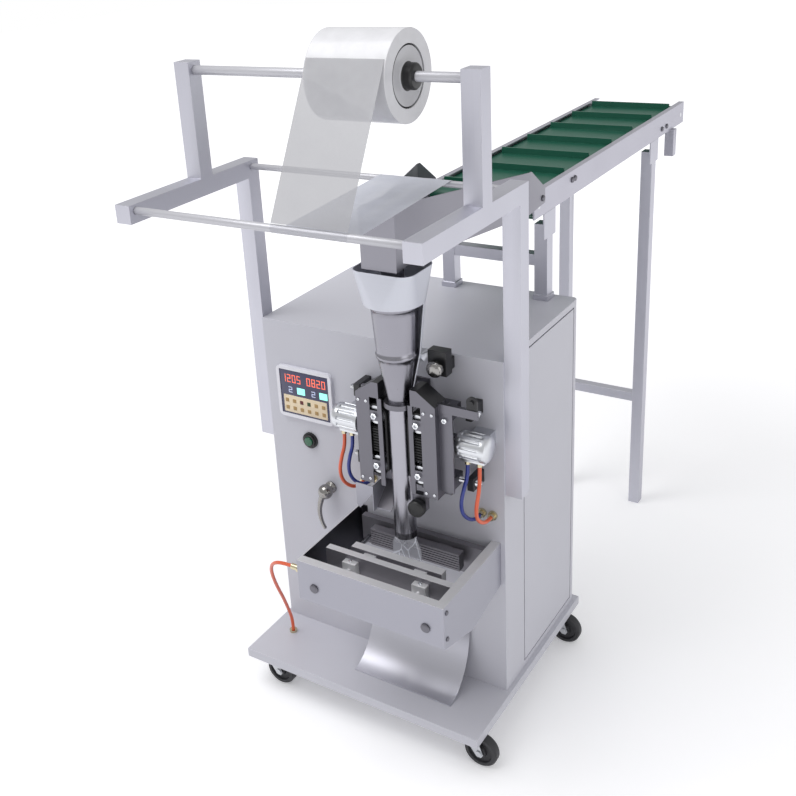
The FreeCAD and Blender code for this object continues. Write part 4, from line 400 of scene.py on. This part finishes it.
floor_bm = bmesh.new()
bmesh.ops.create_grid(floor_bm, x_segments=1, y_segments=1, size=FLOOR_SIZE)
floor_mesh = bpy.data.meshes.new("floor")
floor_bm.to_mesh(floor_mesh)
floor_bm.free()
floor = bpy.data.objects.new("floor", floor_mesh)
bpy.context.scene.collection.objects.link(floor)
floor_mesh.materials.append(white_for_camera("floor_white", tone(246, 246, 248), 0.24, 0.6))

world = bpy.data.worlds.new("soft_sky")
world.use_nodes = True
world_tree = world.node_tree
world_tree.nodes.clear()
sky = world_tree.nodes.new("ShaderNodeBackground")
sky.inputs["Color"].default_value = (1.0, 1.0, 1.0, 1.0)
sky.inputs["Strength"].default_value = 0.62
studio = world_tree.nodes.new("ShaderNodeBackground")
studio.inputs["Color"].default_value = (1.0, 1.0, 1.0, 1.0)
studio.inputs["Strength"].default_value = 1.0
path = world_tree.nodes.new("ShaderNodeLightPath")
blend = world_tree.nodes.new("ShaderNodeMixShader")
out = world_tree.nodes.new("ShaderNodeOutputWorld")
world_tree.links.new(path.outputs["Is Camera Ray"], blend.inputs[0])
world_tree.links.new(sky.outputs[0], blend.inputs[1])
world_tree.links.new(studio.outputs[0], blend.inputs[2])
world_tree.links.new(blend.outputs[0], out.inputs["Surface"])
bpy.context.scene.world = world


def lamp(name, place, target, size, power):
    data = bpy.data.lights.new(name, "AREA")
    data.shape = "SQUARE"
    data.size = size
    data.energy = power
    thing = bpy.data.objects.new(name, data)
    bpy.context.scene.collection.objects.link(thing)
    thing.location = place
    thing.rotation_euler = (target - place).to_track_quat("-Z", "Y").to_euler()


TARGET = spot(50, 200, 800)
lamp("key", Vector((-1.1, -1.7, 4.2)), TARGET, 2.8, 84)
lamp("fill", Vector((3.2, -1.4, 1.6)), TARGET, 2.0, 14)
print("lamps: 2")

# %% [markdown]
# Real sheet and tube never have razor edges. A merged copy of a part gets a fine bevel on every sharp edge,
# which catches the light, and smooth shading on its curves. The copy stands for the part and rides on the
# same body.

# %% Softened edges
SHARP = math.radians(32)


def dress(piece, body, slot, material=None, replaced=()):
    """Gives a finished piece its body and its material, the slot's finish when no material is given, and hides
    the parts it replaces.
    """
    piece.data.materials.clear()
    piece.data.materials.append(material or finishes[slot])
    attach(piece, body)
    if replaced:
        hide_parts(*replaced)
    return piece


def in_machine(place):
    """The frame's metres as millimetres from the filling axis, the cabinet's front and the floor."""
    return Vector((place.x / MM - FEED_X, (place.y - FRONT_Y) / MM, place.z / MM))


def on_top_block(place, normal):
    """Black head of a pull unit, and the eye beside the right one."""
    return (place.z > PULL_TOP + 0.5 and abs(place.x) < 91) or place.z > PULL_TOP + 11


def on_black_bracket(place, normal):
    """Blocks at the slide rods' ends, and the shoulder's clamp."""
    return abs(place.x) > 121 or (place.x > 43 and place.z > 850)


def inside_box_painted_shade(place, normal):
    """Faces that look into the jaw box, which take a dark sheet as painted shade."""
    return abs(place.x) < BOX_HALF - 1.5 and place.y > -BOX_REACH + 1.5 and place.z < BOX_TOP - 2.5


def rim_top_painted_highlight(place, normal):
    """Top of the jaw box's folded rims, which take the paler bar finish as a painted highlight."""
    return abs(place.z - BOX_TOP) < 1 and normal.z > 0.5


def bar_front_painted_shade(place, normal):
    """Front face of the front jaw's cross bar, which is seen in shade and takes a darker sheet as painted
    shade.
    """
    return normal.y < -0.5 and place.z > 400


def guide_slope_painted_shade(place, normal):
    """Slope of the film guide below the left pull unit, which takes a darker sheet as painted shade."""
    return place.z > BOX_TOP + 20 and normal.z > 0.3 and normal.y < -0.3


def inside_trough_painted_shade(place, normal):
    """Faces of the trough that look into it, which take a darker sheet as painted shade."""
    return normal.x * place.x < -2 or normal.z > 0.35


PULL_TOP = 812
BOX_HALF = 170
BOX_REACH = 250
BOX_TOP = 477
BLACK = finishes["black_anodised"]
# Some second finishes paint light into colour: the jaw box's inside, the guide slope, the trough's inside and
# the cross bar's front take painted shade, and the box's rim tops take a painted highlight. The black blocks
# are really black.
second_finishes = {
    "left_pull_frame": [(on_top_block, BLACK)],
    "right_pull_frame": [(on_top_block, BLACK)],
    "tube_brackets": [(on_black_bracket, BLACK)],
    "jaw_box": [(guide_slope_painted_shade, own_finishes["painted_half_shade"]), (inside_box_painted_shade, own_finishes["dark"]),
                (rim_top_painted_highlight, own_finishes["bar"])],
    "feed_trough": [(inside_trough_painted_shade, own_finishes["painted_half_shade"])],
    "front_seal_jaw": [(bar_front_painted_shade, own_finishes["painted_half_shade"])],
}
# The rear jaw's whole finish is the darker sheet, painted shade for a jaw that sits deep in the box.
own_finish_of = {
    "feed_funnel": "formed", "forming_tube": "tube", "forming_shoulder": "wing", "jaw_box": "box",
    "left_pull_frame": "plate", "right_pull_frame": "plate", "front_seal_jaw": "bar", "rear_seal_jaw": "painted_half_shade",
    "jaw_cylinders": "bar", "tube_brackets": "plate", "feed_trough": "trough", "conveyor_frame": "rail",
    "discharge_chute": "chute", "lever_handle": "cast", "clamp_knob": "cast", "round_bolts": "plate",
    "core_chucks": "chuck", "reel_spindle": "roller", "front_guide_roller": "roller",
    "rear_guide_roller": "roller",
}


def softened(node, edge=0.8):
    """A merged copy of a part with fine bevels, its finish and any second finish on some faces."""
    mesh = frame["nodes"][node].data.copy()
    mesh.name = node + "_soft"
    bm = bmesh.new()
    bm.from_mesh(mesh)
    bmesh.ops.remove_doubles(bm, verts=bm.verts, dist=1e-6)
    if edge:
        bmesh.ops.dissolve_limit(bm, angle_limit=math.radians(0.5), verts=bm.verts, edges=bm.edges)
    bm.to_mesh(mesh)
    bm.free()
    piece = bpy.data.objects.new(node + "_soft", mesh)
    bpy.context.scene.collection.objects.link(piece)
    if edge:
        bevel = piece.modifiers.new("edges", "BEVEL")
        bevel.width = edge * MM
        bevel.segments = 2
        bevel.limit_method = "ANGLE"
        bevel.angle_limit = SHARP
        bevel.harden_normals = True
    mesh.polygons.foreach_set("use_smooth", [True] * len(mesh.polygons))
    mesh.set_sharp_from_angle(angle=SHARP)
    dress(piece, body_of_node[node], slot_of[node], own_finishes.get(own_finish_of.get(node)), (node,))
    for number, (is_there, material) in enumerate(second_finishes.get(node, ())):
        mesh.materials.append(material)
        for face in mesh.polygons:
            if is_there(in_machine(face.center), face.normal):
                face.material_index = number + 1
    return piece


soft_edges = {
    "cabinet_shell": 1.2, "side_door": 1.2, "base_platform": 1.5, "jaw_box": 0.8, "feed_trough": 0.6,
    "left_stand_frame": 1.5, "right_stand_frame": 1.5, "conveyor_frame": 0.8, "conveyor_front_stand": 1.5,
    "conveyor_rear_stand": 1.5, "left_pull_frame": 0.8, "right_pull_frame": 0.8, "front_seal_jaw": 0.6,
    "rear_seal_jaw": 0.6, "tube_brackets": 0.8, "discharge_chute": 0.5, "feed_funnel": 0, "forming_tube": 0,
    "forming_shoulder": 0, "left_cylinder": 0.6, "right_cylinder": 0.6, "film_roll": 0.8, "core_chucks": 0.5,
    "lever_handle": 0, "clamp_knob": 0.5, "tension_knob": 0.5, "conveyor_belt": 0.6, "jaw_cylinders": 0.5,
    "front_guide_roller": 0, "rear_guide_roller": 0, "reel_spindle": 0, "guide_rods": 0, "round_bolts": 0,
    "button_housing": 0.3, "push_button": 0.5, "left_pull_belt": 0, "right_pull_belt": 0,
}
for part_name in [name for name in slot_of if name.startswith("castor")]:
    soft_edges[part_name] = 0.6
for part_name, edge_size in soft_edges.items():
    softened(part_name, edge_size)
print("softened parts:", len(soft_edges))

# %% [markdown]
# The air hoses are polyurethane tube. Each one follows the same points as in the model, as one smooth NURBS
# line with a round section, and is pushed into a fitting at both ends.

# %% Air hoses
HOSE_WIDTH = 0.008
feed_hoses = {
    "left_blue_hose": [(-142, -56, 681), (-142, -56, 656), (-146, -66, 632), (-148, -71, 606), (-145, -66, 581),
                       (-138, -51, 562), (-131, -32, 552), (-131, -12, 552)],
    "left_orange_hose": [(-162, -56, 681), (-162, -56, 654), (-167, -66, 626), (-170, -72, 597),
                         (-168, -67, 569), (-161, -51, 549), (-154, -32, 540), (-154, -12, 540)],
    "right_blue_hose": [(128, -56, 681), (128, -56, 654), (123, -66, 626), (119, -72, 597), (119, -67, 569),
                        (124, -51, 549), (130, -32, 539), (130, -14, 539)],
    "right_orange_hose": [(154, -56, 681), (154, -56, 654), (156, -66, 626), (153, -72, 597), (150, -67, 569),
                          (150, -51, 549), (154, -32, 539), (154, -14, 539)],
}
box_hose = [(-84, -236, 446), (-111, -236, 446), (-142, -228, 430), (-163, -212, 398), (-178, -188, 352),
            (-193, -158, 302), (-209, -126, 254), (-224, -98, 210), (-236, -74, 168), (-241, -60, 134),
            (-241, -60, 106)]
hose_routes = {name: [spot(x + FEED_X, y, z) for x, y, z in route] for name, route in feed_hoses.items()}
hose_routes["jaw_hose"] = [spot(*place) for place in box_hose]


def line_length(curve_object):
    """Length of a curve's own line, measured on its mesh."""
    graph = bpy.context.evaluated_depsgraph_get()
    line = bpy.data.meshes.new_from_object(curve_object.evaluated_get(graph))
    total = sum((line.vertices[edge.vertices[0]].co - line.vertices[edge.vertices[1]].co).length
                for edge in line.edges)
    bpy.data.meshes.remove(line)
    return total


def hose(name, route):
    """A hose along its route, which goes back into the machine; returns the length of its line."""
    data = bpy.data.curves.new(name + "_line", "CURVE")
    data.dimensions = "3D"
    data.resolution_u = 10
    spline = data.splines.new("NURBS")
    spline.points.add(len(route) - 1)
    for point, place in zip(spline.points, route):
        point.co = (*place, 1.0)
    spline.order_u = 3
    spline.use_endpoint_u = True
    piece = bpy.data.objects.new(name + "_line", data)
    bpy.context.scene.collection.objects.link(piece)
    length = line_length(piece)
    data.bevel_depth = HOSE_WIDTH / 2
    data.bevel_resolution = 5
    data.use_fill_caps = True
    dress(piece, "root", slot_of[name], replaced=(name,))
    return length


for hose_name, hose_route in hose_routes.items():
    print(hose_name, round(hose(hose_name, hose_route), 3), "m")

# %% [markdown]
# The smaller pieces are shaped in mesh code. A box gets rounded edges, and a turned piece is drawn as a
# profile of radius and height that goes round an axis. Places are in millimetres from the filling axis and
# the cabinet's front.

# %% Shaping helpers


def new_piece(name, bm, body, slot, material=None, replaced=()):
    """Makes a finished mesh a piece on a body, smooth on its curves and crisp on its edges."""
    bmesh.ops.recalc_face_normals(bm, faces=bm.faces)
    mesh = bpy.data.meshes.new(name)
    bm.to_mesh(mesh)
    bm.free()
    mesh.polygons.foreach_set("use_smooth", [True] * len(mesh.polygons))
    mesh.set_sharp_from_angle(angle=SHARP)
    piece = bpy.data.objects.new(name, mesh)
    bpy.context.scene.collection.objects.link(piece)
    return dress(piece, body, slot, material, replaced)


def add_box(bm, low, high, edge=0.0):
    """A box between two corners, its edges rounded off by the given width."""
    made = bmesh.ops.create_cube(bm, size=1.0)["verts"]
    for vertex in made:
        share = vertex.co + Vector((0.5, 0.5, 0.5))
        place = [start + (end - start) * part for start, end, part in zip(low, high, share)]
        vertex.co = spot(place[0] + FEED_X, place[1], place[2])
    if edge:
        edges = list({line for vertex in made for line in vertex.link_edges})
        bmesh.ops.bevel(bm, geom=edges, offset=edge * MM, affect="EDGES", segments=2, profile=0.5,
                        material=-1)


def add_turned(bm, profile, centre, axis, steps=24):
    """A turned piece: (radius, height) points go round an axis that starts at the centre."""
    turn = Vector(axis).to_track_quat("Z", "Y")
    start = spot(centre[0] + FEED_X, centre[1], centre[2])
    rings = []
    for radius, height in profile:
        count = steps if radius else 1
        angles = [number * math.tau / count for number in range(count)]
        ring = [Vector((radius * math.cos(angle), radius * math.sin(angle), height)) for angle in angles]
        rings.append([bm.verts.new(start + turn @ (place * MM)) for place in ring])
    for first, second in zip(rings, rings[1:]):
        for number in range(steps):
            after = (number + 1) % steps
            corners = [first[number % len(first)], first[after % len(first)], second[after % len(second)],
                       second[number % len(second)]]
            bm.faces.new(list(dict.fromkeys(corners)))


def add_screw(bm, centre, axis, radius, steps=24):
    """A socket screw's head with its recess."""
    height = radius * 0.8
    add_turned(bm, [(0, height * 0.45), (radius * 0.5, height * 0.45), (radius * 0.55, height),
                    (radius * 0.88, height), (radius, height * 0.8), (radius, -0.2), (0, -0.2)],
               centre, axis, steps)


TOWARDS_FRONT = (0, -1, 0)
print("shaping helpers ready")

# %% [markdown]
# The control panel has a pale rounded bezel round a navy window. Red figures stand in its first row and two
# lit boxes in its second. Below them lies a cream membrane with twelve keys, of which one is dark red and
# one dark green.

# %% Control panel
PANEL_X = -185 - FEED_X
PANEL_Z = 720
WINDOW_HALF_WIDTH = 65
WINDOW_HALF_HEIGHT = 54
WINDOW_FLOOR = -7
DIGIT_LINES = {"a": (0, 1, 1, 1), "b": (1, 0.5, 1, 1), "c": (1, 0, 1, 0.5), "d": (0, 0, 1, 0),
               "e": (0, 0, 0, 0.5), "f": (0, 0.5, 0, 1), "g": (0, 0.5, 1, 0.5)}
DIGITS = {"0": "abcdef", "1": "bc", "2": "abged", "5": "afgcd", "8": "abcdefg"}


def glowing(name, colour, strength):
    """A lit display whose colour and glow vary a little at random across it."""
    graph = Graph(name)
    clouds = graph.grain(120)
    return graph.finish({
        "Base Color": graph.mix(clouds, shade(colour, 0.6), colour),
        "Roughness": 0.35 + 0.1 * (clouds - 0.5),
        "Emission Color": graph.mix(clouds, shade(colour, 0.8), shade(colour, 1.2)),
        "Emission Strength": strength,
    })


def on_panel(bm, left, low, right, high, raised, edge=0.3):
    """A plate on the window's floor, placed from the panel's middle."""
    add_box(bm, (PANEL_X + left, WINDOW_FLOOR - raised, PANEL_Z + low),
            (PANEL_X + right, WINDOW_FLOOR + 0.2, PANEL_Z + high), edge)


def add_digit(bm, figure, left, low, width, height, raised):
    """A seven-segment figure."""
    thick = width * 0.24
    for name in DIGITS[figure]:
        x0, z0, x1, z1 = DIGIT_LINES[name]
        on_panel(bm, left + x0 * width - thick / 2, low + z0 * height - thick / 2,
                 left + x1 * width + thick / 2, low + z1 * height + thick / 2, raised, 0.2)


bm = bmesh.new()
on_panel(bm, -WINDOW_HALF_WIDTH, -WINDOW_HALF_HEIGHT, WINDOW_HALF_WIDTH, WINDOW_HALF_HEIGHT, 0.6, 0.4)
new_piece("panel_window", bm, "root", "panel_bezel", moulded("navy_window", tone(22, 20, 74), 0.16, 0.6))

bm = bmesh.new()
row = "1205 0820"
for number, figure in enumerate(row):
    if figure != " ":
        add_digit(bm, figure, -57 + number * 13.2, 25, 7.5, 17, 1.0)
new_piece("panel_figures", bm, "root", "panel_bezel", glowing("red_figures", tone(255, 120, 92), 0.8))

bm = bmesh.new()
for left in (-20, 40):
    on_panel(bm, left, -2, left + 21, 14, 1.0)
new_piece("panel_lit_boxes", bm, "root", "panel_bezel", glowing("cyan_boxes", tone(150, 250, 226), 0.9))

bm = bmesh.new()
for left in (-42, 20):
    add_digit(bm, "2", left, 0, 8, 12, 1.0)
new_piece("panel_small_figures", bm, "root", "panel_bezel", glowing("pale_figures", tone(196, 206, 232), 0.4))

bm = bmesh.new()
on_panel(bm, -58, -50, 58, -8, 1.1, 0.5)
new_piece("panel_membrane", bm, "root", "panel_bezel", moulded("cream_membrane", tone(232, 214, 184), 0.4))

key_finishes = {
    "ochre": (tone(170, 138, 88), []),
    "dark_red": (tone(92, 26, 30), []),
    "dark_green": (tone(34, 62, 22), []),
}
for row_number in range(2):
    for column in range(6):
        kind = {(0, 2): "dark_red", (0, 3): "dark_green"}.get((row_number, column), "ochre")
        key_finishes[kind][1].append((-49 + column * 19.6, -21 - row_number * 18))
for kind, (colour, places) in key_finishes.items():
    bm = bmesh.new()
    for x, z in places:
        on_panel(bm, x - 4.5, z - 4.5, x + 4.5, z + 4.5, 2.0, 0.8)
    new_piece("keys_" + kind, bm, "root", "panel_bezel", moulded("keys_" + kind, colour, 0.45))
print("keys: 12")

# %% [markdown]
# The pull units carry small hardware: screws in their covers, caps on the pulley pins, and a black toothed
# pad that presses the belt against the tube and shows through the slot.

# %% Pull unit hardware
COVER_FACE = -112
PULLEY_X = 47.6
PULLEY_HEIGHTS = (660, 772)
for side, sign in (("left", -1), ("right", 1)):
    carriage = side + "_carriage"
    bm = bmesh.new()
    for z in (626, 802):
        for x in (65, 83):
            add_screw(bm, (sign * x, COVER_FACE, z), TOWARDS_FRONT, 3)
    for z in PULLEY_HEIGHTS:
        add_screw(bm, (sign * PULLEY_X, COVER_FACE + 0.5, z), TOWARDS_FRONT, 7, 6)
    if sign > 0:
        add_screw(bm, (102, COVER_FACE + 16, 788), TOWARDS_FRONT, 6, 6)
    new_piece(side + "_pull_screws", bm, carriage, "chrome")
    bm = bmesh.new()
    add_box(bm, (sign * PULLEY_X - 13, -104, 688), (sign * PULLEY_X + 13, -82, 744), 1)
    teeth = 9
    for number in range(teeth):
        z = 692 + number * 6
        add_box(bm, (sign * PULLEY_X - 9, -107.5, z - 1.8), (sign * PULLEY_X + 9, -103, z + 1.8), 0.6)
    new_piece(side + "_belt_pad", bm, carriage, "black_rubber")
print("pull units: 2")

# %% [markdown]
# Two steel blocks join the ram rods to the front jaw's cross bar, each held by a screw from above.

# %% Jaw blocks
BAR_FRONT = -176
bm = bmesh.new()
for x in (-82, 82):
    add_box(bm, (x - 16, BAR_FRONT - 15, 430), (x + 16, BAR_FRONT + 0.5, 461), 1.2)
new_piece("jaw_blocks", bm, body_of_node["front_seal_jaw"], "polished_stainless", own_finishes["bar"])
bm = bmesh.new()
for x in (-82, 82):
    add_screw(bm, (x, BAR_FRONT - 7.5, 461), (0, 0, 1), 4)
new_piece("jaw_block_screws", bm, body_of_node["front_seal_jaw"], "chrome")
print("jaw blocks: 2")

# %% [markdown]
# The film is thin and translucent. Its sheet follows the tangents between the roll and the two guide
# rollers, with faint ripples along its width. Below the tube its crumpled tail is pressed flat towards its
# end between the jaws.

# %% Film


def packing_film(name, colour, alpha, roughness):
    """Translucent film, a little denser where it is creased."""
    graph = Graph(name)
    folds = graph.grain(26, detail=4)
    return graph.finish({
        "Base Color": graph.mix(folds, shade(colour, 0.94), shade(colour, 1.05)),
        "Roughness": roughness + 0.1 * (folds - 0.5),
        "Alpha": alpha + 0.12 * (folds - 0.5),
        "Coat Weight": 0.3,
        "Normal": graph.bump(folds, 0.0006, 0.5),
    })


def creased_film(name, colour, clear, creased):
    """Clear film whose crumpled folds show as pale lines: denser creased film, with painted highlights along
    the creases.
    """
    graph = Graph(name)
    bent = graph.add("ShaderNodeMapping", sockets={"Vector": graph.place, "Scale": (1, 1, 0.55)},
                     output="Vector")
    folds = graph.add("ShaderNodeTexVoronoi", {"feature": "DISTANCE_TO_EDGE"}, {"Vector": bent, "Scale": 40},
                      output="Distance")
    crease_and_highlight = 1.0 - folds.between(0.0, 0.07)
    return graph.finish({
        "Base Color": graph.mix(crease_and_highlight, shade(colour, 0.8), shade(colour, 1.15)),
        "Roughness": 0.1 + 0.25 * crease_and_highlight,
        "Alpha": clear + (creased - clear) * crease_and_highlight,
        "Coat Weight": 0.4,
        "Normal": graph.bump(crease_and_highlight, 0.0016, 0.7),
    })


def centre_and_radius(node):
    """Middle of a roller seen from its side, as (y, z), and its radius."""
    low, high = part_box(node)
    return Vector(((low.y + high.y) / 2, (low.z + high.z) / 2)), (high.z - low.z) / 2


def tangent(centre_a, radius_a, centre_b, radius_b, side_a, side_b):
    """Ends of the straight that touches two circles, each on its own side of the travel."""
    run = centre_b - centre_a
    heading = math.atan2(run.y, run.x) + math.asin((side_a * radius_a - side_b * radius_b) / run.length)
    normal = Vector((math.sin(heading), -math.cos(heading)))
    return centre_a + normal * side_a * radius_a, centre_b + normal * side_b * radius_b


def arc(centre, start, end, steps):
    """Points from start to end round a centre, the short way."""
    first = start - centre
    sweep = first.angle_signed(end - centre)
    return [centre + Matrix.Rotation(-sweep * number / steps, 2) @ first for number in range(1, steps)]


FILM_GAP = 0.0006
FREE_END = 0.009
RIPPLE_ROWS = 47
roll_centre, roll_radius = centre_and_radius("film_roll")
front_centre, front_radius = centre_and_radius("front_guide_roller")
rear_centre, rear_radius = centre_and_radius("rear_guide_roller")
leave_roll, reach_front = tangent(roll_centre, roll_radius + FILM_GAP,
                                  front_centre, front_radius + FILM_GAP, 1, 1)
leave_front, reach_rear = tangent(front_centre, front_radius + FILM_GAP,
                                  rear_centre, rear_radius + FILM_GAP, 1, -1)
film_line = []
for start, end, steps in ((leave_roll, reach_front, 40), (leave_front, reach_rear, 40)):
    if film_line:
        film_line += arc(front_centre, film_line[-1], start, 6)
    film_line += [start.lerp(end, number / steps) for number in range(steps + 1)]
hang = rear_centre + Vector((rear_radius + FILM_GAP, -FREE_END))
film_line += arc(rear_centre, reach_rear, rear_centre + Vector((rear_radius + FILM_GAP, 0)), 5) + [hang]
web_low, web_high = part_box("film_web")
columns = 24

# The rows between these two are stretched over the front roller.
WRAP_START = 39
WRAP_END = 47
bm = bmesh.new()
grid = []
for number, place in enumerate(film_line):
    share = (number % RIPPLE_ROWS) / (RIPPLE_ROWS - 1)
    free = math.sin(math.pi * share) ** 2
    line = []
    for column in range(columns + 1):
        x = web_low.x + (web_high.x - web_low.x) * column / columns
        ripple = 0.0009 * free * math.sin(column * 0.9 + number * 0.05)
        line.append(bm.verts.new((x, place.x + ripple * 0.4, place.y + ripple)))
    grid.append(line)
for first, second in zip(grid, grid[1:]):
    for column in range(columns):
        bm.faces.new((first[column], first[column + 1], second[column + 1], second[column]))
film_sheet = new_piece("film_sheet", bm, "root", "film",
                       packing_film("hanging_film", tone(166, 166, 171), 0.82, 0.3), ("film_web",))
film_sheet.data.materials.append(packing_film("stretched_film", tone(196, 197, 206), 0.2, 0.3))
film_sheet.data.materials.append(packing_film("returning_film", tone(200, 203, 216), 0.95, 0.3))
for number, face in enumerate(film_sheet.data.polygons):
    row_number = number // columns
    face.material_index = int(row_number >= WRAP_START) + int(row_number >= WRAP_END)

TAIL_STEPS = 13
TAIL_TOP = 499
TAIL_LOW = 440
TAIL_CRUMPLE = 5
bm = bmesh.new()
rings = []
levels = 6
for level in range(levels + 1):
    share = level / levels
    flat = min(1.0, share * 2)
    half_width = 21.5 + 13 * flat
    half_depth = 21.5 * (1 - flat) + 0.5
    crumple = TAIL_CRUMPLE * math.sin(math.pi * min(1.0, share * 1.5)) * (1 - flat)
    ring = []
    for number in range(TAIL_STEPS):
        angle = number * math.tau / TAIL_STEPS
        fold = crumple * math.sin(angle * 5 + share * 9) * math.cos(angle * 2 - share * 5)
        place = spot(FEED_X + (half_width + fold) * math.cos(angle),
                     FEED_Y + (half_depth + fold) * math.sin(angle),
                     TAIL_TOP + (TAIL_LOW - TAIL_TOP) * share)
        ring.append(bm.verts.new(place))
    rings.append(ring)
for first, second in zip(rings, rings[1:]):
    for number in range(TAIL_STEPS):
        after = (number + 1) % TAIL_STEPS
        bm.faces.new((first[number], first[after], second[after], second[number]))
film_tail = new_piece("film_tail", bm, "root", "film",
                      creased_film("clear_film", tone(220, 222, 232), 0.42, 0.92), ("film_web",))
film_tail.data.polygons.foreach_set("use_smooth", [False] * len(film_tail.data.polygons))
film_length = sum((second - first).length for first, second in zip(film_line, film_line[1:]))
print("film sheet:", round(web_high.x - web_low.x, 3), "m wide and", round(film_length, 3), "m long")
